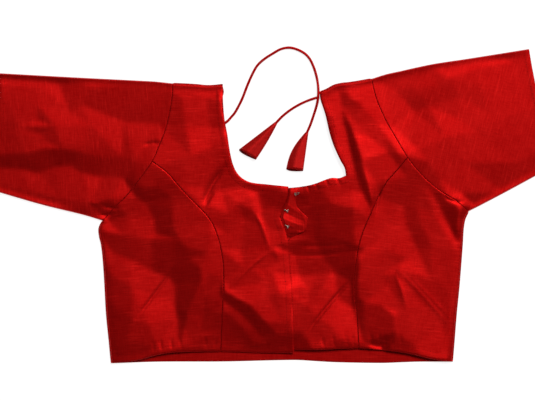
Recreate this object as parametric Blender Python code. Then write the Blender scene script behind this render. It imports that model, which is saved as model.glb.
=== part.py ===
"""Choli blouse of red dupion silk, laid flat on its back with both sleeves spread.

Sizes are in millimetres in the pattern's frame: x to the wearer's left, y up the body, both from
the foot of the lap, and z up from the table. MM and GARMENT_CENTRE take them to the part's frame,
in metres, whose origin is the middle of the garment's box, on the table.
"""
import math

import bpy
import numpy as np
from mathutils import Vector
from mathutils.geometry import delaunay_2d_cdt

MM = 0.001
GARMENT_CENTRE = (-23.1, 213.78)

# Cloth
WALL = 1.2            # silk with its turnings
SEAM_GAP = 0.3        # between pieces that are sewn together
LAYER_GAP = 0.3       # between pieces that lie on each other
PUFF_HEIGHT = 9.0     # how far the fronts stand off the back
PUFF_REACH = 13.0     # how fast they rise from a closed edge
MESH_STEP = 14.0      # between points inside a front
BACK_STEP = 30.0
CURVE_STEP = 11.0     # between points along an edge
SLEEVE_STATIONS = 11

# Lap of the right front over the left
LAP_UNDER = 27.0      # how far the left front runs under the right
STRIP_WIDTH = 24.0    # of the eye strip, from the lap edge
LAP_DROP = 3.1        # left front below the right, where they lap
LAP_RECOVERY = 32.0   # how far from the lap edge the left front is level again
BUNCH_HEIGHT = 4.5    # of the eye strip where it bunches up at the neck

# Cords, tassels and metal
CORD_DIAMETER = 3.6
CORD_LIFT = 0.2       # clear of the table
TASSEL_HEIGHT = 9.0
TASSEL_WALL = 1.0
TASSEL_SIDES = 16
WIRE_DIAMETER = 1.0

# Columns of every edge table: x, y. Edges run from the neck side outwards or from the top down.
SHOULDER_RIGHT = ((-92.5, 382.0), (-111.0, 380.4), (-129.7, 382.0), (-160.8, 383.6))
SHOULDER_LEFT = ((42.8, 371.8), (49.7, 374.3), (64.9, 382.0), (88.3, 385.4), (113.9, 389.9))
NECK_RIGHT = (
    (-92.5, 382.0), (-91.6, 352.5), (-89.7, 332.6), (-85.8, 311.9), (-81.4, 284.3),
    (-75.9, 265.7), (-67.6, 253.9), (-54.0, 246.2), (-34.5, 243.6), (-1.4, 240.2),
)
NECK_LEFT = (
    (42.8, 371.8), (44.0, 362.0), (50.5, 342.2), (56.6, 316.0), (62.1, 298.4), (70.8, 279.0),
    (79.4, 261.4), (77.3, 252.9), (58.4, 252.0), (32.3, 242.9), (4.6, 238.6), (-28.5, 238.4),
)
NECK_BACK = (
    (-92.5, 382.0), (-90.2, 373.5), (-93.4, 362.0), (-92.0, 332.0), (-88.5, 300.0),
    (-80.0, 264.0), (-60.0, 242.0), (-20.0, 234.5), (25.0, 236.0), (62.0, 246.0),
    (84.0, 254.0), (82.0, 266.0), (70.0, 287.0), (60.5, 312.0), (53.0, 342.0), (46.2, 362.0),
    (42.8, 371.8),
)
ARMHOLE_RIGHT = (
    (-160.8, 383.6), (-162.0, 365.7), (-165.0, 345.0), (-171.1, 320.2), (-178.0, 302.2),
    (-189.4, 275.6), (-205.6, 252.5), (-226.3, 226.3), (-241.5, 211.8), (-257.8, 193.3),
)
ARMHOLE_LEFT = (
    (113.9, 389.9), (121.4, 361.6), (133.9, 332.6), (149.0, 306.4), (164.0, 280.9),
    (178.7, 262.2), (195.4, 245.6), (215.3, 230.5), (231.8, 220.8), (248.6, 206.3),
)
PRINCESS_ROW_RIGHT = 5    # rows of the armholes where the princess seams start
PRINCESS_ROW_LEFT = 4
SIDE_RIGHT = (
    (-257.8, 193.3), (-262.7, 184.0), (-262.5, 173.9), (-258.9, 157.3), (-255.6, 120.1),
    (-252.5, 64.9), (-248.8, 27.6), (-245.8, -3.9),
)
SIDE_LEFT = (
    (248.6, 206.3), (244.3, 197.9), (241.5, 184.9), (239.8, 159.1), (235.3, 102.1),
    (231.6, 64.9), (228.6, 27.6), (226.2, -1.7),
)
PRINCESS_RIGHT = (
    (-189.4, 275.6), (-168.4, 259.7), (-149.0, 237.4), (-130.5, 218.0), (-118.7, 206.6),
    (-104.9, 187.8), (-95.2, 159.1), (-90.7, 129.7), (-90.7, 102.1), (-92.5, 64.9),
    (-94.4, 13.0),
)
PRINCESS_LEFT = (
    (164.0, 280.9), (150.4, 264.6), (133.6, 245.0), (115.6, 209.0), (98.5, 167.0),
    (91.4, 126.0), (90.1, 92.5), (93.8, 64.9), (96.6, 17.7),
)
LAP_EDGE = (
    (-1.4, 240.2), (-3.7, 222.6), (-8.8, 211.0), (-12.6, 197.2), (-6.4, 183.0), (-2.8, 169.7),
    (-0.1, 149.7), (2.8, 111.8), (4.1, 92.5), (5.1, 56.6), (6.6, 11.6),
)
HEM_RIGHT = (
    (6.6, 11.6), (-34.5, 11.3), (-94.4, 13.0), (-160.1, 12.0), (-186.3, 7.6), (-208.4, 1.4),
    (-245.8, -2.6),
)
HEM_LEFT = (
    (-20.4, 14.6), (42.8, 16.1), (96.6, 17.7), (142.1, 13.8), (169.7, 9.7), (198.7, 2.8),
    (226.2, -0.8),
)
PRINCESS_HEM_ROW = 2      # row of each hem where its princess seam ends
HEM_BACK = (
    (226.2, -1.7), (169.7, -1.8), (135.2, -3.4), (56.6, -2.1), (11.0, 0.6), (-89.7, -1.4),
    (-182.2, -1.7), (-245.8, -3.9),
)

# Right edge of the eye strip, bunched out over the left front at its top
STRIP_EDGE = (
    (12.4, 238.9), (10.2, 224.9), (10.4, 214.0), (19.0, 204.0), (26.2, 197.6), (25.0, 189.0),
    (22.4, 180.0), (12.0, 175.5), (1.0, 168.0), (-3.2, 158.0), (-2.6, 140.0), (0.2, 111.8),
    (1.5, 92.5), (2.5, 56.6), (3.6, 16.6),
)
STRIP_HIDDEN_TOP = (-14.0, 238.6)

# Sleeves: edges run from the armhole to the cuff
SLEEVE_TOP_RIGHT = ((-160.8, 383.6), (-178.0, 385.8), (-290.0, 391.7), (-400.6, 397.8))
SLEEVE_UNDER_RIGHT = ((-257.8, 193.3), (-283.6, 201.2), (-340.0, 215.0), (-412.6, 236.0))
CUFF_RIGHT = ((-400.6, 397.8), (-401.4, 350.0), (-405.2, 300.0), (-412.6, 236.0))
SLEEVE_TOP_LEFT = (
    (113.9, 389.9), (125.6, 394.2), (144.9, 398.6), (198.7, 410.4), (242.2, 417.0),
    (332.2, 431.3),
)
SLEEVE_UNDER_LEFT = ((248.6, 206.3), (262.2, 213.2), (300.0, 233.0), (366.4, 269.1))
CUFF_LEFT = ((332.2, 431.3), (337.4, 401.0), (350.0, 340.0), (366.4, 269.1))

# Columns: start, middle and end of the crease (x, y), half width, height over the cloth round it
FOLDS = (
    ((-85.6, 265.7), (-109.7, 240.9), (-120.0, 208.8), 7.0, -2.5),
    ((-103.0, 192.0), (-76.0, 204.0), (-52.9, 208.0), 9.0, 2.0),
    ((-52.9, 207.0), (-35.9, 184.9), (-26.9, 150.0), 8.0, 3.0),
    ((-26.9, 150.0), (-52.9, 131.0), (-84.0, 98.0), 9.0, 2.5),
    ((-85.6, 88.3), (-53.8, 67.6), (-33.1, 38.6), 10.0, -3.0),
    ((-165.6, 114.5), (-191.8, 83.4), (-212.0, 58.0), 7.0, -3.0),
    ((-191.8, 232.0), (-172.0, 201.5), (-184.9, 164.0), 16.0, -2.8),
    ((-172.0, 124.0), (-141.0, 104.9), (-147.7, 55.0), 14.0, -2.4),
    ((-222.0, 140.0), (-205.0, 100.0), (-196.0, 70.0), 16.0, 3.0),
    ((-108.0, 160.0), (-103.0, 130.0), (-104.0, 90.0), 9.0, 2.0),
    ((75.9, 360.0), (90.0, 298.0), (112.0, 214.0), 11.0, -3.5),
    ((74.0, 374.0), (112.0, 344.0), (150.0, 296.0), 11.0, -2.5),
    ((62.0, 290.0), (84.0, 225.0), (88.0, 165.0), 18.0, 3.0),
    ((6.0, 146.0), (45.0, 149.0), (87.0, 156.0), 7.0, -2.5),
    ((8.0, 132.0), (45.0, 136.0), (84.0, 141.0), 8.0, 3.0),
    ((90.0, 117.6), (60.0, 82.0), (19.9, 35.3), 7.0, -2.8),
    ((190.0, 243.0), (220.0, 206.0), (236.0, 160.0), 13.0, -3.0),
    ((168.0, 240.0), (192.0, 205.0), (205.0, 165.0), 12.0, 2.5),
    ((146.3, 119.0), (152.0, 106.0), (160.0, 90.0), 8.0, 2.2),
    ((156.0, 116.0), (172.0, 98.0), (190.4, 76.0), 8.0, -2.5),
    ((-400.0, 277.0), (-310.0, 262.0), (-216.0, 254.0), 14.0, -3.5),
    ((-370.0, 246.0), (-310.0, 234.0), (-262.0, 222.0), 12.0, 2.5),
    ((-250.0, 372.0), (-215.0, 330.0), (-196.0, 298.0), 18.0, -3.0),
    ((160.0, 384.0), (190.0, 350.0), (196.0, 310.0), 16.0, -2.5),
    ((300.0, 370.0), (275.0, 320.0), (250.0, 262.0), 18.0, 2.0),
)
FOLD_REACH = 9.0      # folds flatten out this near a closed edge

# Columns of the cords' routes: x, y, height of the centre over a cord that lies on the table
DORI_RIGHT_ROUTE = (
    (-95.0, 324.6, 1.4), (-90.2, 327.7, 1.4), (-84.6, 331.9, 1.2), (-79.7, 337.4, 0.0),
    (-75.1, 342.9, 0.0), (-68.8, 354.0, 0.0), (-63.7, 365.0, 0.0), (-57.3, 381.6, 0.0),
    (-49.9, 398.1, 0.0), (-43.2, 409.2, 0.0), (-33.8, 417.7, 0.0), (-22.8, 424.8, 0.0),
    (-11.7, 431.0, 0.0), (-0.7, 433.2, 0.0), (9.6, 431.3, 0.0), (21.4, 425.3, 0.0),
    (28.8, 417.5, 0.0), (34.2, 406.4, 0.0), (37.7, 395.4, 0.0), (39.7, 385.5, 0.8),
    (40.6, 376.0, 3.2), (40.4, 366.0, 4.4), (39.3, 357.0, 3.0), (37.1, 348.5, 0.6),
    (33.5, 337.4, 0.0), (29.7, 326.4, 0.0), (24.6, 314.6, 0.0),
)
DORI_LEFT_ROUTE = (
    (42.2, 364.6, 0.0), (35.2, 362.9, 0.0), (24.2, 359.0, 0.0), (13.1, 353.7, 0.0),
    (2.1, 347.0, 0.0), (-9.0, 338.2, 0.0), (-19.1, 327.7, 0.0),
)

# Columns: name, point (x, y), mouth's two corners (x, y), outward bow of each side
TASSELS = (
    ("tassel_left", (-19.6, 327.2), (-69.0, 292.4), (-45.6, 278.2), 0.0, 1.0),
    ("tassel_right", (24.2, 313.6), (-3.8, 265.8), (19.8, 262.6), 5.0, 0.0),
)

# Columns: name, middle (x, y), turn in degrees
EYES_AND_HOOKS = (
    ("eye_top", (6.4, 229.8), 20.0),
    ("hook_upper", (-0.9, 208.4), 160.0),
    ("hook_lower", (0.4, 184.6), 150.0),
)
# A hook's wire from one spread end round its nose to the other: shares of its length and width
HOOK_WIRE = (
    (-0.5, 0.5), (-0.18, 0.18), (0.3, 0.25), (0.5, 0.0), (0.3, -0.25), (-0.18, -0.18),
    (-0.5, -0.5),
)
HOOK_LENGTH = 7.0
HOOK_WIDTH = 4.0

# Columns: red, green and blue (linear), roughness, metallic
SILK = (0.38, 0.004, 0.004, 0.45, 0.0)
CORD_SILK = (0.34, 0.003, 0.004, 0.5, 0.0)
STEEL = (0.55, 0.50, 0.46, 0.35, 1.0)


def clear_scene():
    for obj in list(bpy.data.objects):
        bpy.data.objects.remove(obj, do_unlink=True)


def material(name, row):
    made = bpy.data.materials.new(name)
    made.use_nodes = True
    shader = made.node_tree.nodes["Principled BSDF"]
    shader.inputs["Base Color"].default_value = (*row[:3], 1.0)
    shader.inputs["Roughness"].default_value = row[3]
    shader.inputs["Metallic"].default_value = row[4]
    return made


def finished(name, points, faces, row):
    """An object from points in pattern millimetres, with a material of its own."""
    placed = np.array(points, float) - (*GARMENT_CENTRE, 0.0)
    mesh = bpy.data.meshes.new(name)
    mesh.from_pydata((placed * MM).tolist(), [], faces)
    mesh.materials.append(material(name + "_finish", row))
    mesh.validate()
    obj = bpy.data.objects.new(name, mesh)
    bpy.context.scene.collection.objects.link(obj)
    return obj


# Curves

def lengths_along(points):
    steps = np.linalg.norm(np.diff(points, axis=0), axis=1)
    return np.concatenate([[0.0], np.cumsum(steps)])


def evenly(points, step):
    """The same path with points an even step apart."""
    along = lengths_along(points)
    count = max(2, round(along[-1] / step) + 1)
    wanted = np.linspace(0.0, along[-1], count)
    return np.stack([np.interp(wanted, along, points[:, k]) for k in range(points.shape[1])], 1)


def spans(rows, per_span=12):
    """A smooth curve through the rows, as one run of points for each gap between two rows."""
    rows = np.array(rows, float)
    ends = np.vstack([2 * rows[0] - rows[1], rows, 2 * rows[-1] - rows[-2]])
    runs = []
    for before, start, end, after in zip(ends, ends[1:], ends[2:], ends[3:]):
        reach = np.linalg.norm(end - start)
        leave = (end - before) / np.linalg.norm(end - before) * reach
        arrive = (after - start) / np.linalg.norm(after - start) * reach
        t = np.linspace(0.0, 1.0, per_span)[:, None]
        runs.append(
            (2 * t**3 - 3 * t**2 + 1) * start
            + (t**3 - 2 * t**2 + t) * leave
            + (3 * t**2 - 2 * t**3) * end
            + (t**3 - t**2) * arrive
        )
    return runs


def edge(rows, step=CURVE_STEP):
    return evenly(np.vstack(spans(rows)), step)


def edge_parts(rows, at_row, step=CURVE_STEP):
    """The same smooth curve in two parts, which meet at the given row."""
    runs = spans(rows)
    return evenly(np.vstack(runs[:at_row]), step), evenly(np.vstack(runs[at_row:]), step)


def ring(*edges):
    """Edges laid end to end as one outline, counterclockwise, with each corner once."""
    points = np.vstack([part[:-1] for part in edges])
    x, y = points.T
    turns = np.sum(x * np.roll(y, -1) - y * np.roll(x, -1))
    return points if turns > 0 else points[::-1]


def corner_ways(points):
    """Unit vectors into the outline at its points, lengthened at corners so that edges shift evenly."""
    ahead = np.roll(points, -1, axis=0) - points
    ahead /= np.linalg.norm(ahead, axis=1)[:, None]
    behind = np.roll(ahead, 1, axis=0)
    inward = np.stack([-(ahead + behind)[:, 1], (ahead + behind)[:, 0]], 1)
    inward /= np.linalg.norm(inward, axis=1)[:, None]
    across = np.abs(inward[:, 0] * -ahead[:, 1] + inward[:, 1] * ahead[:, 0])
    return inward / np.maximum(across, 0.5)[:, None]


def inset(points, distance):
    return points + corner_ways(points) * distance


def distance_to(points, path):
    """Distance of each point from a path."""
    start, along = path[:-1], np.diff(path, axis=0)
    away = points[:, None] - start[None]
    part = np.clip((away * along).sum(2) / (along**2).sum(1), 0.0, 1.0)
    return np.linalg.norm(away - part[..., None] * along, axis=2).min(axis=1)


def side_of(path, y):
    """x of a path that runs down the body, at each y."""
    order = np.argsort(path[:, 1])
    return np.interp(y, path[order, 1], path[order, 0])


def eased(value):
    value = np.clip(value, 0.0, 1.0)
    return value * value * (3.0 - 2.0 * value)


# Seams and edges shared by the pieces

armhole_right = edge_parts(ARMHOLE_RIGHT, PRINCESS_ROW_RIGHT)
armhole_left = edge_parts(ARMHOLE_LEFT, PRINCESS_ROW_LEFT)
hem_right = edge_parts(HEM_RIGHT, PRINCESS_HEM_ROW)
hem_left = edge_parts(HEM_LEFT, PRINCESS_HEM_ROW)
lap_edge = edge(LAP_EDGE)
lap_under = np.stack([lap_edge[:, 0] - LAP_UNDER, lap_edge[:, 1]], 1)
closed_edges = [
    edge(rows)
    for rows in (
        SHOULDER_RIGHT, SHOULDER_LEFT, SIDE_RIGHT, SIDE_LEFT,
        SLEEVE_TOP_RIGHT, SLEEVE_TOP_LEFT, SLEEVE_UNDER_RIGHT, SLEEVE_UNDER_LEFT,
    )
]


# Heights of the cloth's upper face

def fold_shape(points, fold):
    start, middle, end, half_width, height = fold
    t = np.linspace(0.0, 1.0, 9)[:, None]
    start, middle, end = (np.array(place, float) for place in (start, middle, end))
    path = (1 - t) * ((1 - t) * start + t * middle) + t * ((1 - t) * middle + t * end)
    return height * np.exp(-((distance_to(points, path) / half_width) ** 2))


def front_height(points):
    """Upper face of the fronts and sleeves: level at closed edges, puffed and creased between."""
    near = np.min([distance_to(points, path) for path in closed_edges], axis=0)
    creases = sum(fold_shape(points, fold) for fold in FOLDS)
    sewn_level = 2 * WALL + LAYER_GAP
    puff = PUFF_HEIGHT * (1.0 - np.exp(-near / PUFF_REACH))
    return sewn_level + puff + creases * (1.0 - np.exp(-((near / FOLD_REACH) ** 2)))


def left_front_height(points):
    past_lap = points[:, 0] - side_of(lap_edge, points[:, 1])
    return front_height(points) - LAP_DROP * (1.0 - eased((past_lap - 4.0) / LAP_RECOVERY))


def strip_height(points):
    past_lap = points[:, 0] - side_of(lap_edge, points[:, 1])
    free = eased((past_lap - 1.0) / 7.0) * eased((points[:, 1] - 172.0) / 12.0)
    on_left_front = left_front_height(points) + WALL + LAYER_GAP
    return on_left_front + BUNCH_HEIGHT * free


# Pieces

def inside(outline, points):
    """Whether each point lies within the outline."""
    ahead = np.roll(outline, -1, axis=0)
    x, y = points[:, None, 0], points[:, None, 1]
    crosses = (outline[:, 1] > y) != (ahead[:, 1] > y)
    rise = np.where(ahead[:, 1] == outline[:, 1], 1.0, ahead[:, 1] - outline[:, 1])
    at = outline[:, 0] + (y - outline[:, 1]) / rise * (ahead - outline)[:, 0]
    return (crosses & (x < at)).sum(axis=1) % 2 == 1


def filled(outlines, step):
    """One net of triangles over all the outlines, so that pieces on each other share its points.

    It gives the points, and each outline's own triangles.
    """
    low = np.min([outline.min(axis=0) for outline in outlines], axis=0)
    high = np.max([outline.max(axis=0) for outline in outlines], axis=0)
    grid = [
        (x, y)
        for k, y in enumerate(np.arange(low[1] + step / 2, high[1], step * math.sqrt(3) / 2))
        for x in np.arange(low[0] + step * (0.25 + 0.5 * (k % 2)), high[0], step)
    ]
    grid = np.array(grid)
    keep = np.zeros(len(grid), bool)
    for outline in outlines:
        keep |= inside(outline, grid)
    for outline in outlines:
        keep &= distance_to(grid, np.vstack([outline, outline[:1]])) > 0.45 * step
    corners = [Vector(point) for point in np.vstack([*outlines, grid[keep]])]
    starts = np.cumsum([0] + [len(outline) for outline in outlines])
    loops = [list(range(start, end)) for start, end in zip(starts, starts[1:])]
    points, _, faces, _, _, owners = delaunay_2d_cdt(corners, [], loops, 1, 1e-6)
    shares = [
        [list(face) for face, owner in zip(faces, owners) if k in owner]
        for k in range(len(outlines))
    ]
    return np.array([tuple(point) for point in points]), shares


def panel(name, points, faces, height, row=SILK):
    """A flat-lying piece of cloth: a wall whose upper face is at the given height."""
    used = sorted({corner for face in faces for corner in face})
    renumbered = {old: new for new, old in enumerate(used)}
    faces = [[renumbered[corner] for corner in face] for face in faces]
    points = points[used]
    upper = height(points)
    count = len(points)
    walls = np.vstack([np.column_stack([points, upper]), np.column_stack([points, upper - WALL])])
    sides = {(a, b) for face in faces for a, b in zip(face, face[1:] + face[:1])}
    rim = [(a, b) for a, b in sorted(sides) if (b, a) not in sides]
    solid = [tuple(face) for face in faces]
    solid += [tuple(count + corner for corner in reversed(face)) for face in faces]
    solid += [(b, a, count + a, count + b) for a, b in rim]
    return finished(name, walls, solid, row)


def flat_height(points):
    return np.full(len(points), WALL)


def sleeve(name, armhole, top_rows, under_rows, cuff_rows):
    """An open tube laid flat, from the armhole seam to the cuff."""
    armhole = np.vstack([armhole[0], armhole[1][1:]])
    along = lengths_along(armhole)
    share = along / along[-1]
    cuff = edge(cuff_rows, 1.0)
    cuff_share = lengths_along(cuff) / lengths_along(cuff)[-1]
    cuff = np.stack([np.interp(share, cuff_share, cuff[:, k]) for k in range(2)], 1)
    s = np.linspace(0.0, 1.0, SLEEVE_STATIONS)
    borders = []
    for rows in (top_rows, under_rows):
        border = edge(rows, 1.0)
        border_share = lengths_along(border) / lengths_along(border)[-1]
        borders.append(np.stack([np.interp(s, border_share, border[:, k]) for k in range(2)], 1))
    top, under = borders
    out_of_body = np.sign(cuff[0, 0] - armhole[0, 0])
    ahead = np.gradient(armhole, axis=0)
    seam_way = np.stack([np.abs(ahead[:, 1]), ahead[:, 0] * out_of_body], 1) * (out_of_body, 1.0)
    seam_way /= np.linalg.norm(seam_way, axis=1)[:, None]
    armhole = armhole + seam_way * SEAM_GAP / 2
    outer, inner = [], []
    for k, part in enumerate(s):
        across = (
            (1 - part) * armhole + part * cuff
            + (1 - share)[:, None] * top[k] + share[:, None] * under[k]
            - (1 - share)[:, None] * ((1 - part) * armhole[0] + part * cuff[0])
            - share[:, None] * ((1 - part) * armhole[-1] + part * cuff[-1])
        )
        hollow = across.copy()
        for rim, beside in ((0, 1), (-1, -2)):
            way = across[beside] - across[rim]
            hollow[rim] = across[rim] + way / np.linalg.norm(way) * WALL
        upper = front_height(across)
        lining = front_height(across) - WALL
        outer.append(np.vstack([
            np.column_stack([across, upper]),
            np.column_stack([across, np.zeros(len(across))])[::-1],
        ]))
        inner.append(np.vstack([
            np.column_stack([hollow, lining]),
            np.column_stack([hollow, np.full(len(across), WALL)])[::-1],
        ]))
    return finished(name, *tube(outer, inner, out_of_body < 0), SILK)


def tube(outer, inner, flip, closed_end=False):
    """Points and faces of a hollow body from matching rings. A closed end joins its last rings."""
    size = len(outer[0])
    points = np.vstack(outer + inner)
    start_inner = len(outer) * size
    faces = []
    for k in range(len(outer) - 1):
        for i in range(size):
            j = (i + 1) % size
            a, b, c, d = (k * size + i, k * size + j, (k + 1) * size + j, (k + 1) * size + i)
            faces.append((a, b, c, d))
            faces.append(tuple(start_inner + v for v in (d, c, b, a)))
    for i in range(size):
        j = (i + 1) % size
        faces.append((j, i, start_inner + i, start_inner + j))
        if not closed_end:
            last = (len(outer) - 1) * size
            a, b = last + i, last + j
            faces.append((a, b, start_inner + b, start_inner + a))
    if closed_end:
        last = (len(outer) - 1) * size
        faces.append(tuple(last + i for i in range(size)))
        faces.append(tuple(start_inner + last + size - 1 - i for i in range(size)))
    return points, [face[::-1] for face in faces] if flip else faces


def round_rod(name, rows, diameter, step, bevel_resolution, row):
    """A round cord or wire through the rows: a bevelled curve with filled caps."""
    path = evenly(np.vstack(spans(rows)), step)
    placed = (path - (*GARMENT_CENTRE, 0.0)) * MM
    curve = bpy.data.curves.new(name, "CURVE")
    curve.dimensions = "3D"
    curve.bevel_depth = diameter / 2 * MM
    curve.bevel_resolution = bevel_resolution
    curve.use_fill_caps = True
    spline = curve.splines.new("POLY")
    spline.points.add(len(placed) - 1)
    for point, place in zip(spline.points, placed):
        point.co = (*place, 1.0)
    curve.materials.append(material(name + "_finish", row))
    obj = bpy.data.objects.new(name, curve)
    bpy.context.scene.collection.objects.link(obj)
    return obj


def dori(name, route):
    """A rouleau cord that lies on the table, but for the lifts in its route."""
    rows = np.array(route, float)
    rows[:, 2] += CORD_DIAMETER / 2 + CORD_LIFT
    return round_rod(name, rows, CORD_DIAMETER, 2.5 * CORD_DIAMETER, 2, CORD_SILK)


def tassel(name, tip, corner_a, corner_b, bow_a, bow_b):
    """A cone of folded cloth on a cord's end, pressed flat, open at its mouth."""
    tip, corner_a, corner_b = (np.array(place, float) for place in (tip, corner_a, corner_b))
    neck = (CORD_DIAMETER / 2 + 0.5) * (corner_a - corner_b) / np.linalg.norm(corner_a - corner_b)
    middle = (corner_a + corner_b) / 2
    away = (middle - tip) / np.linalg.norm(middle - tip)
    turns = np.linspace(0.0, 2 * math.pi, TASSEL_SIDES, endpoint=False)
    outer, inner = [], []
    for share in (1.0, 0.75, 0.5, 0.25, 0.0):
        side_a = tip + neck + (corner_a - tip - neck) * share
        side_b = tip - neck + (corner_b - tip + neck) * share
        side_a = side_a + neck / np.linalg.norm(neck) * bow_a * math.sin(math.pi * share)
        side_b = side_b - neck / np.linalg.norm(neck) * bow_b * math.sin(math.pi * share)
        height = CORD_DIAMETER + 1.0 + (TASSEL_HEIGHT - CORD_DIAMETER - 1.0) * share
        centre, half = (side_a + side_b) / 2, (side_a - side_b) / 2
        shrink = 1.0 - TASSEL_WALL / np.linalg.norm(half)
        hollow_height = height - 2 * TASSEL_WALL
        inner_centre = centre + away * (TASSEL_WALL * 1.5 if share == 0.0 else 0.0)
        for rings, mid, part, tall in (
            (outer, centre, 1.0, height), (inner, inner_centre, shrink, hollow_height),
        ):
            flat = mid + np.cos(turns)[:, None] * half * part
            rise = CORD_LIFT + height / 2 + np.sin(turns) * tall / 2
            rings.append(np.column_stack([flat, rise]))
    return finished(name, *tube(outer, inner, False, closed_end=True), CORD_SILK)


def hook(name, middle, turn):
    """A bent wire with its two ends spread, lying on the eye strip."""
    turn = math.radians(turn)
    ahead = np.array((math.cos(turn), math.sin(turn))) * HOOK_LENGTH
    across = np.array((-math.sin(turn), math.cos(turn))) * HOOK_WIDTH
    flat = np.array([middle + x * ahead + y * across for x, y in HOOK_WIRE])
    level = strip_height(flat).max() + LAYER_GAP + WIRE_DIAMETER / 2
    rows = np.column_stack([flat, np.full(len(flat), level)])
    return round_rod(name, rows, WIRE_DIAMETER, 1.2 * WIRE_DIAMETER, 1, STEEL)


def build():
    clear_scene()
    neck_right, neck_left = edge(NECK_RIGHT), edge(NECK_LEFT)
    shoulder_right, shoulder_left = edge(SHOULDER_RIGHT), edge(SHOULDER_LEFT)
    side_right, side_left = edge(SIDE_RIGHT), edge(SIDE_LEFT)
    princess_right, princess_left = edge(PRINCESS_RIGHT), edge(PRINCESS_LEFT)

    fronts = {
        "front_centre_right": (ring(
            armhole_right[0][::-1], shoulder_right[::-1], neck_right, lap_edge, hem_right[0],
            princess_right[::-1],
        ), front_height),
        "front_side_right": (ring(
            armhole_right[1], front_side(side_right, HEM_RIGHT), hem_right[1][::-1],
            princess_right[::-1],
        ), front_height),
        "front_centre_left": (ring(
            armhole_left[0][::-1], shoulder_left[::-1], neck_left, lap_under_part(),
            hem_left[0], princess_left[::-1],
        ), left_front_height),
        "front_side_left": (ring(
            armhole_left[1], front_side(side_left, HEM_LEFT), hem_left[1][::-1],
            princess_left[::-1],
        ), left_front_height),
        "underlap_strip": (strip_outline(), strip_height),
    }
    net, shares = filled(
        [inset(outline, SEAM_GAP / 2) for outline, _ in fronts.values()], MESH_STEP
    )
    for (name, (_, height)), share in zip(fronts.items(), shares):
        panel(name, net, share, height)
    net, shares = filled([inset(back_outline(), SEAM_GAP / 2)], BACK_STEP)
    panel("back_panel", net, shares[0], flat_height)
    sleeve("sleeve_right", armhole_right, SLEEVE_TOP_RIGHT, SLEEVE_UNDER_RIGHT, CUFF_RIGHT)
    sleeve("sleeve_left", armhole_left, SLEEVE_TOP_LEFT, SLEEVE_UNDER_LEFT, CUFF_LEFT)
    dori("dori_right", DORI_RIGHT_ROUTE)
    dori("dori_left", DORI_LEFT_ROUTE)
    for row in TASSELS:
        tassel(*row)
    for row in EYES_AND_HOOKS:
        hook(*row)


def front_side(side, hem_rows):
    """The side seam down to the front's hem, which ends a little above the back's."""
    return np.vstack([side[:-1], np.array([hem_rows[-1]], float)])


def lap_under_part():
    """The left front's hidden edge, from its neck edge to its hem."""
    rows = lap_under[(lap_under[:, 1] < NECK_LEFT[-1][1] - 4.0) & (lap_under[:, 1] > HEM_LEFT[0][1] + 4.0)]
    return np.vstack([np.array([NECK_LEFT[-1]], float), rows, np.array([HEM_LEFT[0]], float)])


def strip_outline():
    shown = edge(STRIP_EDGE, 7.0)
    hidden_x = side_of(lap_edge, shown[:, 1]) - STRIP_WIDTH
    hidden_x = np.maximum(hidden_x, np.where(shown[:, 1] > 170.0, STRIP_HIDDEN_TOP[0], -99.0))
    hidden = np.stack([hidden_x, shown[:, 1]], 1)
    hidden = hidden[np.concatenate([[True], np.diff(hidden[:, 1]) < -3.0])]
    top = np.array([STRIP_EDGE[0], (hidden[0, 0], STRIP_HIDDEN_TOP[1])], float)
    foot = np.array([(hidden[-1, 0], STRIP_EDGE[-1][1]), STRIP_EDGE[-1]], float)
    hidden = hidden[(hidden[:, 1] < top[1, 1] - 3.0) & (hidden[:, 1] > foot[0, 1] + 3.0)]
    return ring(shown, foot[::-1], hidden[::-1], top[::-1])


def back_outline():
    return ring(
        edge(NECK_BACK), edge(SHOULDER_LEFT), armhole_left[0], armhole_left[1], edge(SIDE_LEFT),
        edge(HEM_BACK, 24.0), edge(SIDE_RIGHT)[::-1], armhole_right[1][::-1],
        armhole_right[0][::-1], edge(SHOULDER_RIGHT)[::-1],
    )


build()
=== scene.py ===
import math

import bpy
import numpy as np
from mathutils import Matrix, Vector
from mathutils.geometry import delaunay_2d_cdt


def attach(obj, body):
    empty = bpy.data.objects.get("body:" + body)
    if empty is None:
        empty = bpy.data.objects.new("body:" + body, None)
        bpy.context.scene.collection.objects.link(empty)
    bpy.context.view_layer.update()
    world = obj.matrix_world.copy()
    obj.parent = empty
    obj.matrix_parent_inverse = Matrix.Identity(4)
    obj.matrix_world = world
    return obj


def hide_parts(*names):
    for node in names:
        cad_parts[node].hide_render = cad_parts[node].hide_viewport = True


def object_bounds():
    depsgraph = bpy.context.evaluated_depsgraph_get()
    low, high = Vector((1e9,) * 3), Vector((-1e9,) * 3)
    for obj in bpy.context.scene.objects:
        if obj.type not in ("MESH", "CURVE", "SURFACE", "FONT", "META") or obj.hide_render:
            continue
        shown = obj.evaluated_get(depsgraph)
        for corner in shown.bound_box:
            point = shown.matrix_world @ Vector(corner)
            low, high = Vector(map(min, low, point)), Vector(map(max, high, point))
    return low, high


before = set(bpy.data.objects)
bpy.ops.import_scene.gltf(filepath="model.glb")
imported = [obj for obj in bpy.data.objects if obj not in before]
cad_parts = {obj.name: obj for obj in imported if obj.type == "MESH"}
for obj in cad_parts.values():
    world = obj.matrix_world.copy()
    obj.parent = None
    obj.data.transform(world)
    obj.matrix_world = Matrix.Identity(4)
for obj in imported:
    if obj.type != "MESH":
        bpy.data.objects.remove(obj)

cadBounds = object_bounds()
mm = 0.001
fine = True

# the camera is straight above the blouse, with a long lens
view = dict(centre=(-0.0066, 0.0077), height=3.0, lens=145.6, sensor=36.0)


def placed(name, data):
    thing = bpy.data.objects.new(name, data)
    bpy.context.scene.collection.objects.link(thing)
    return thing


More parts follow.
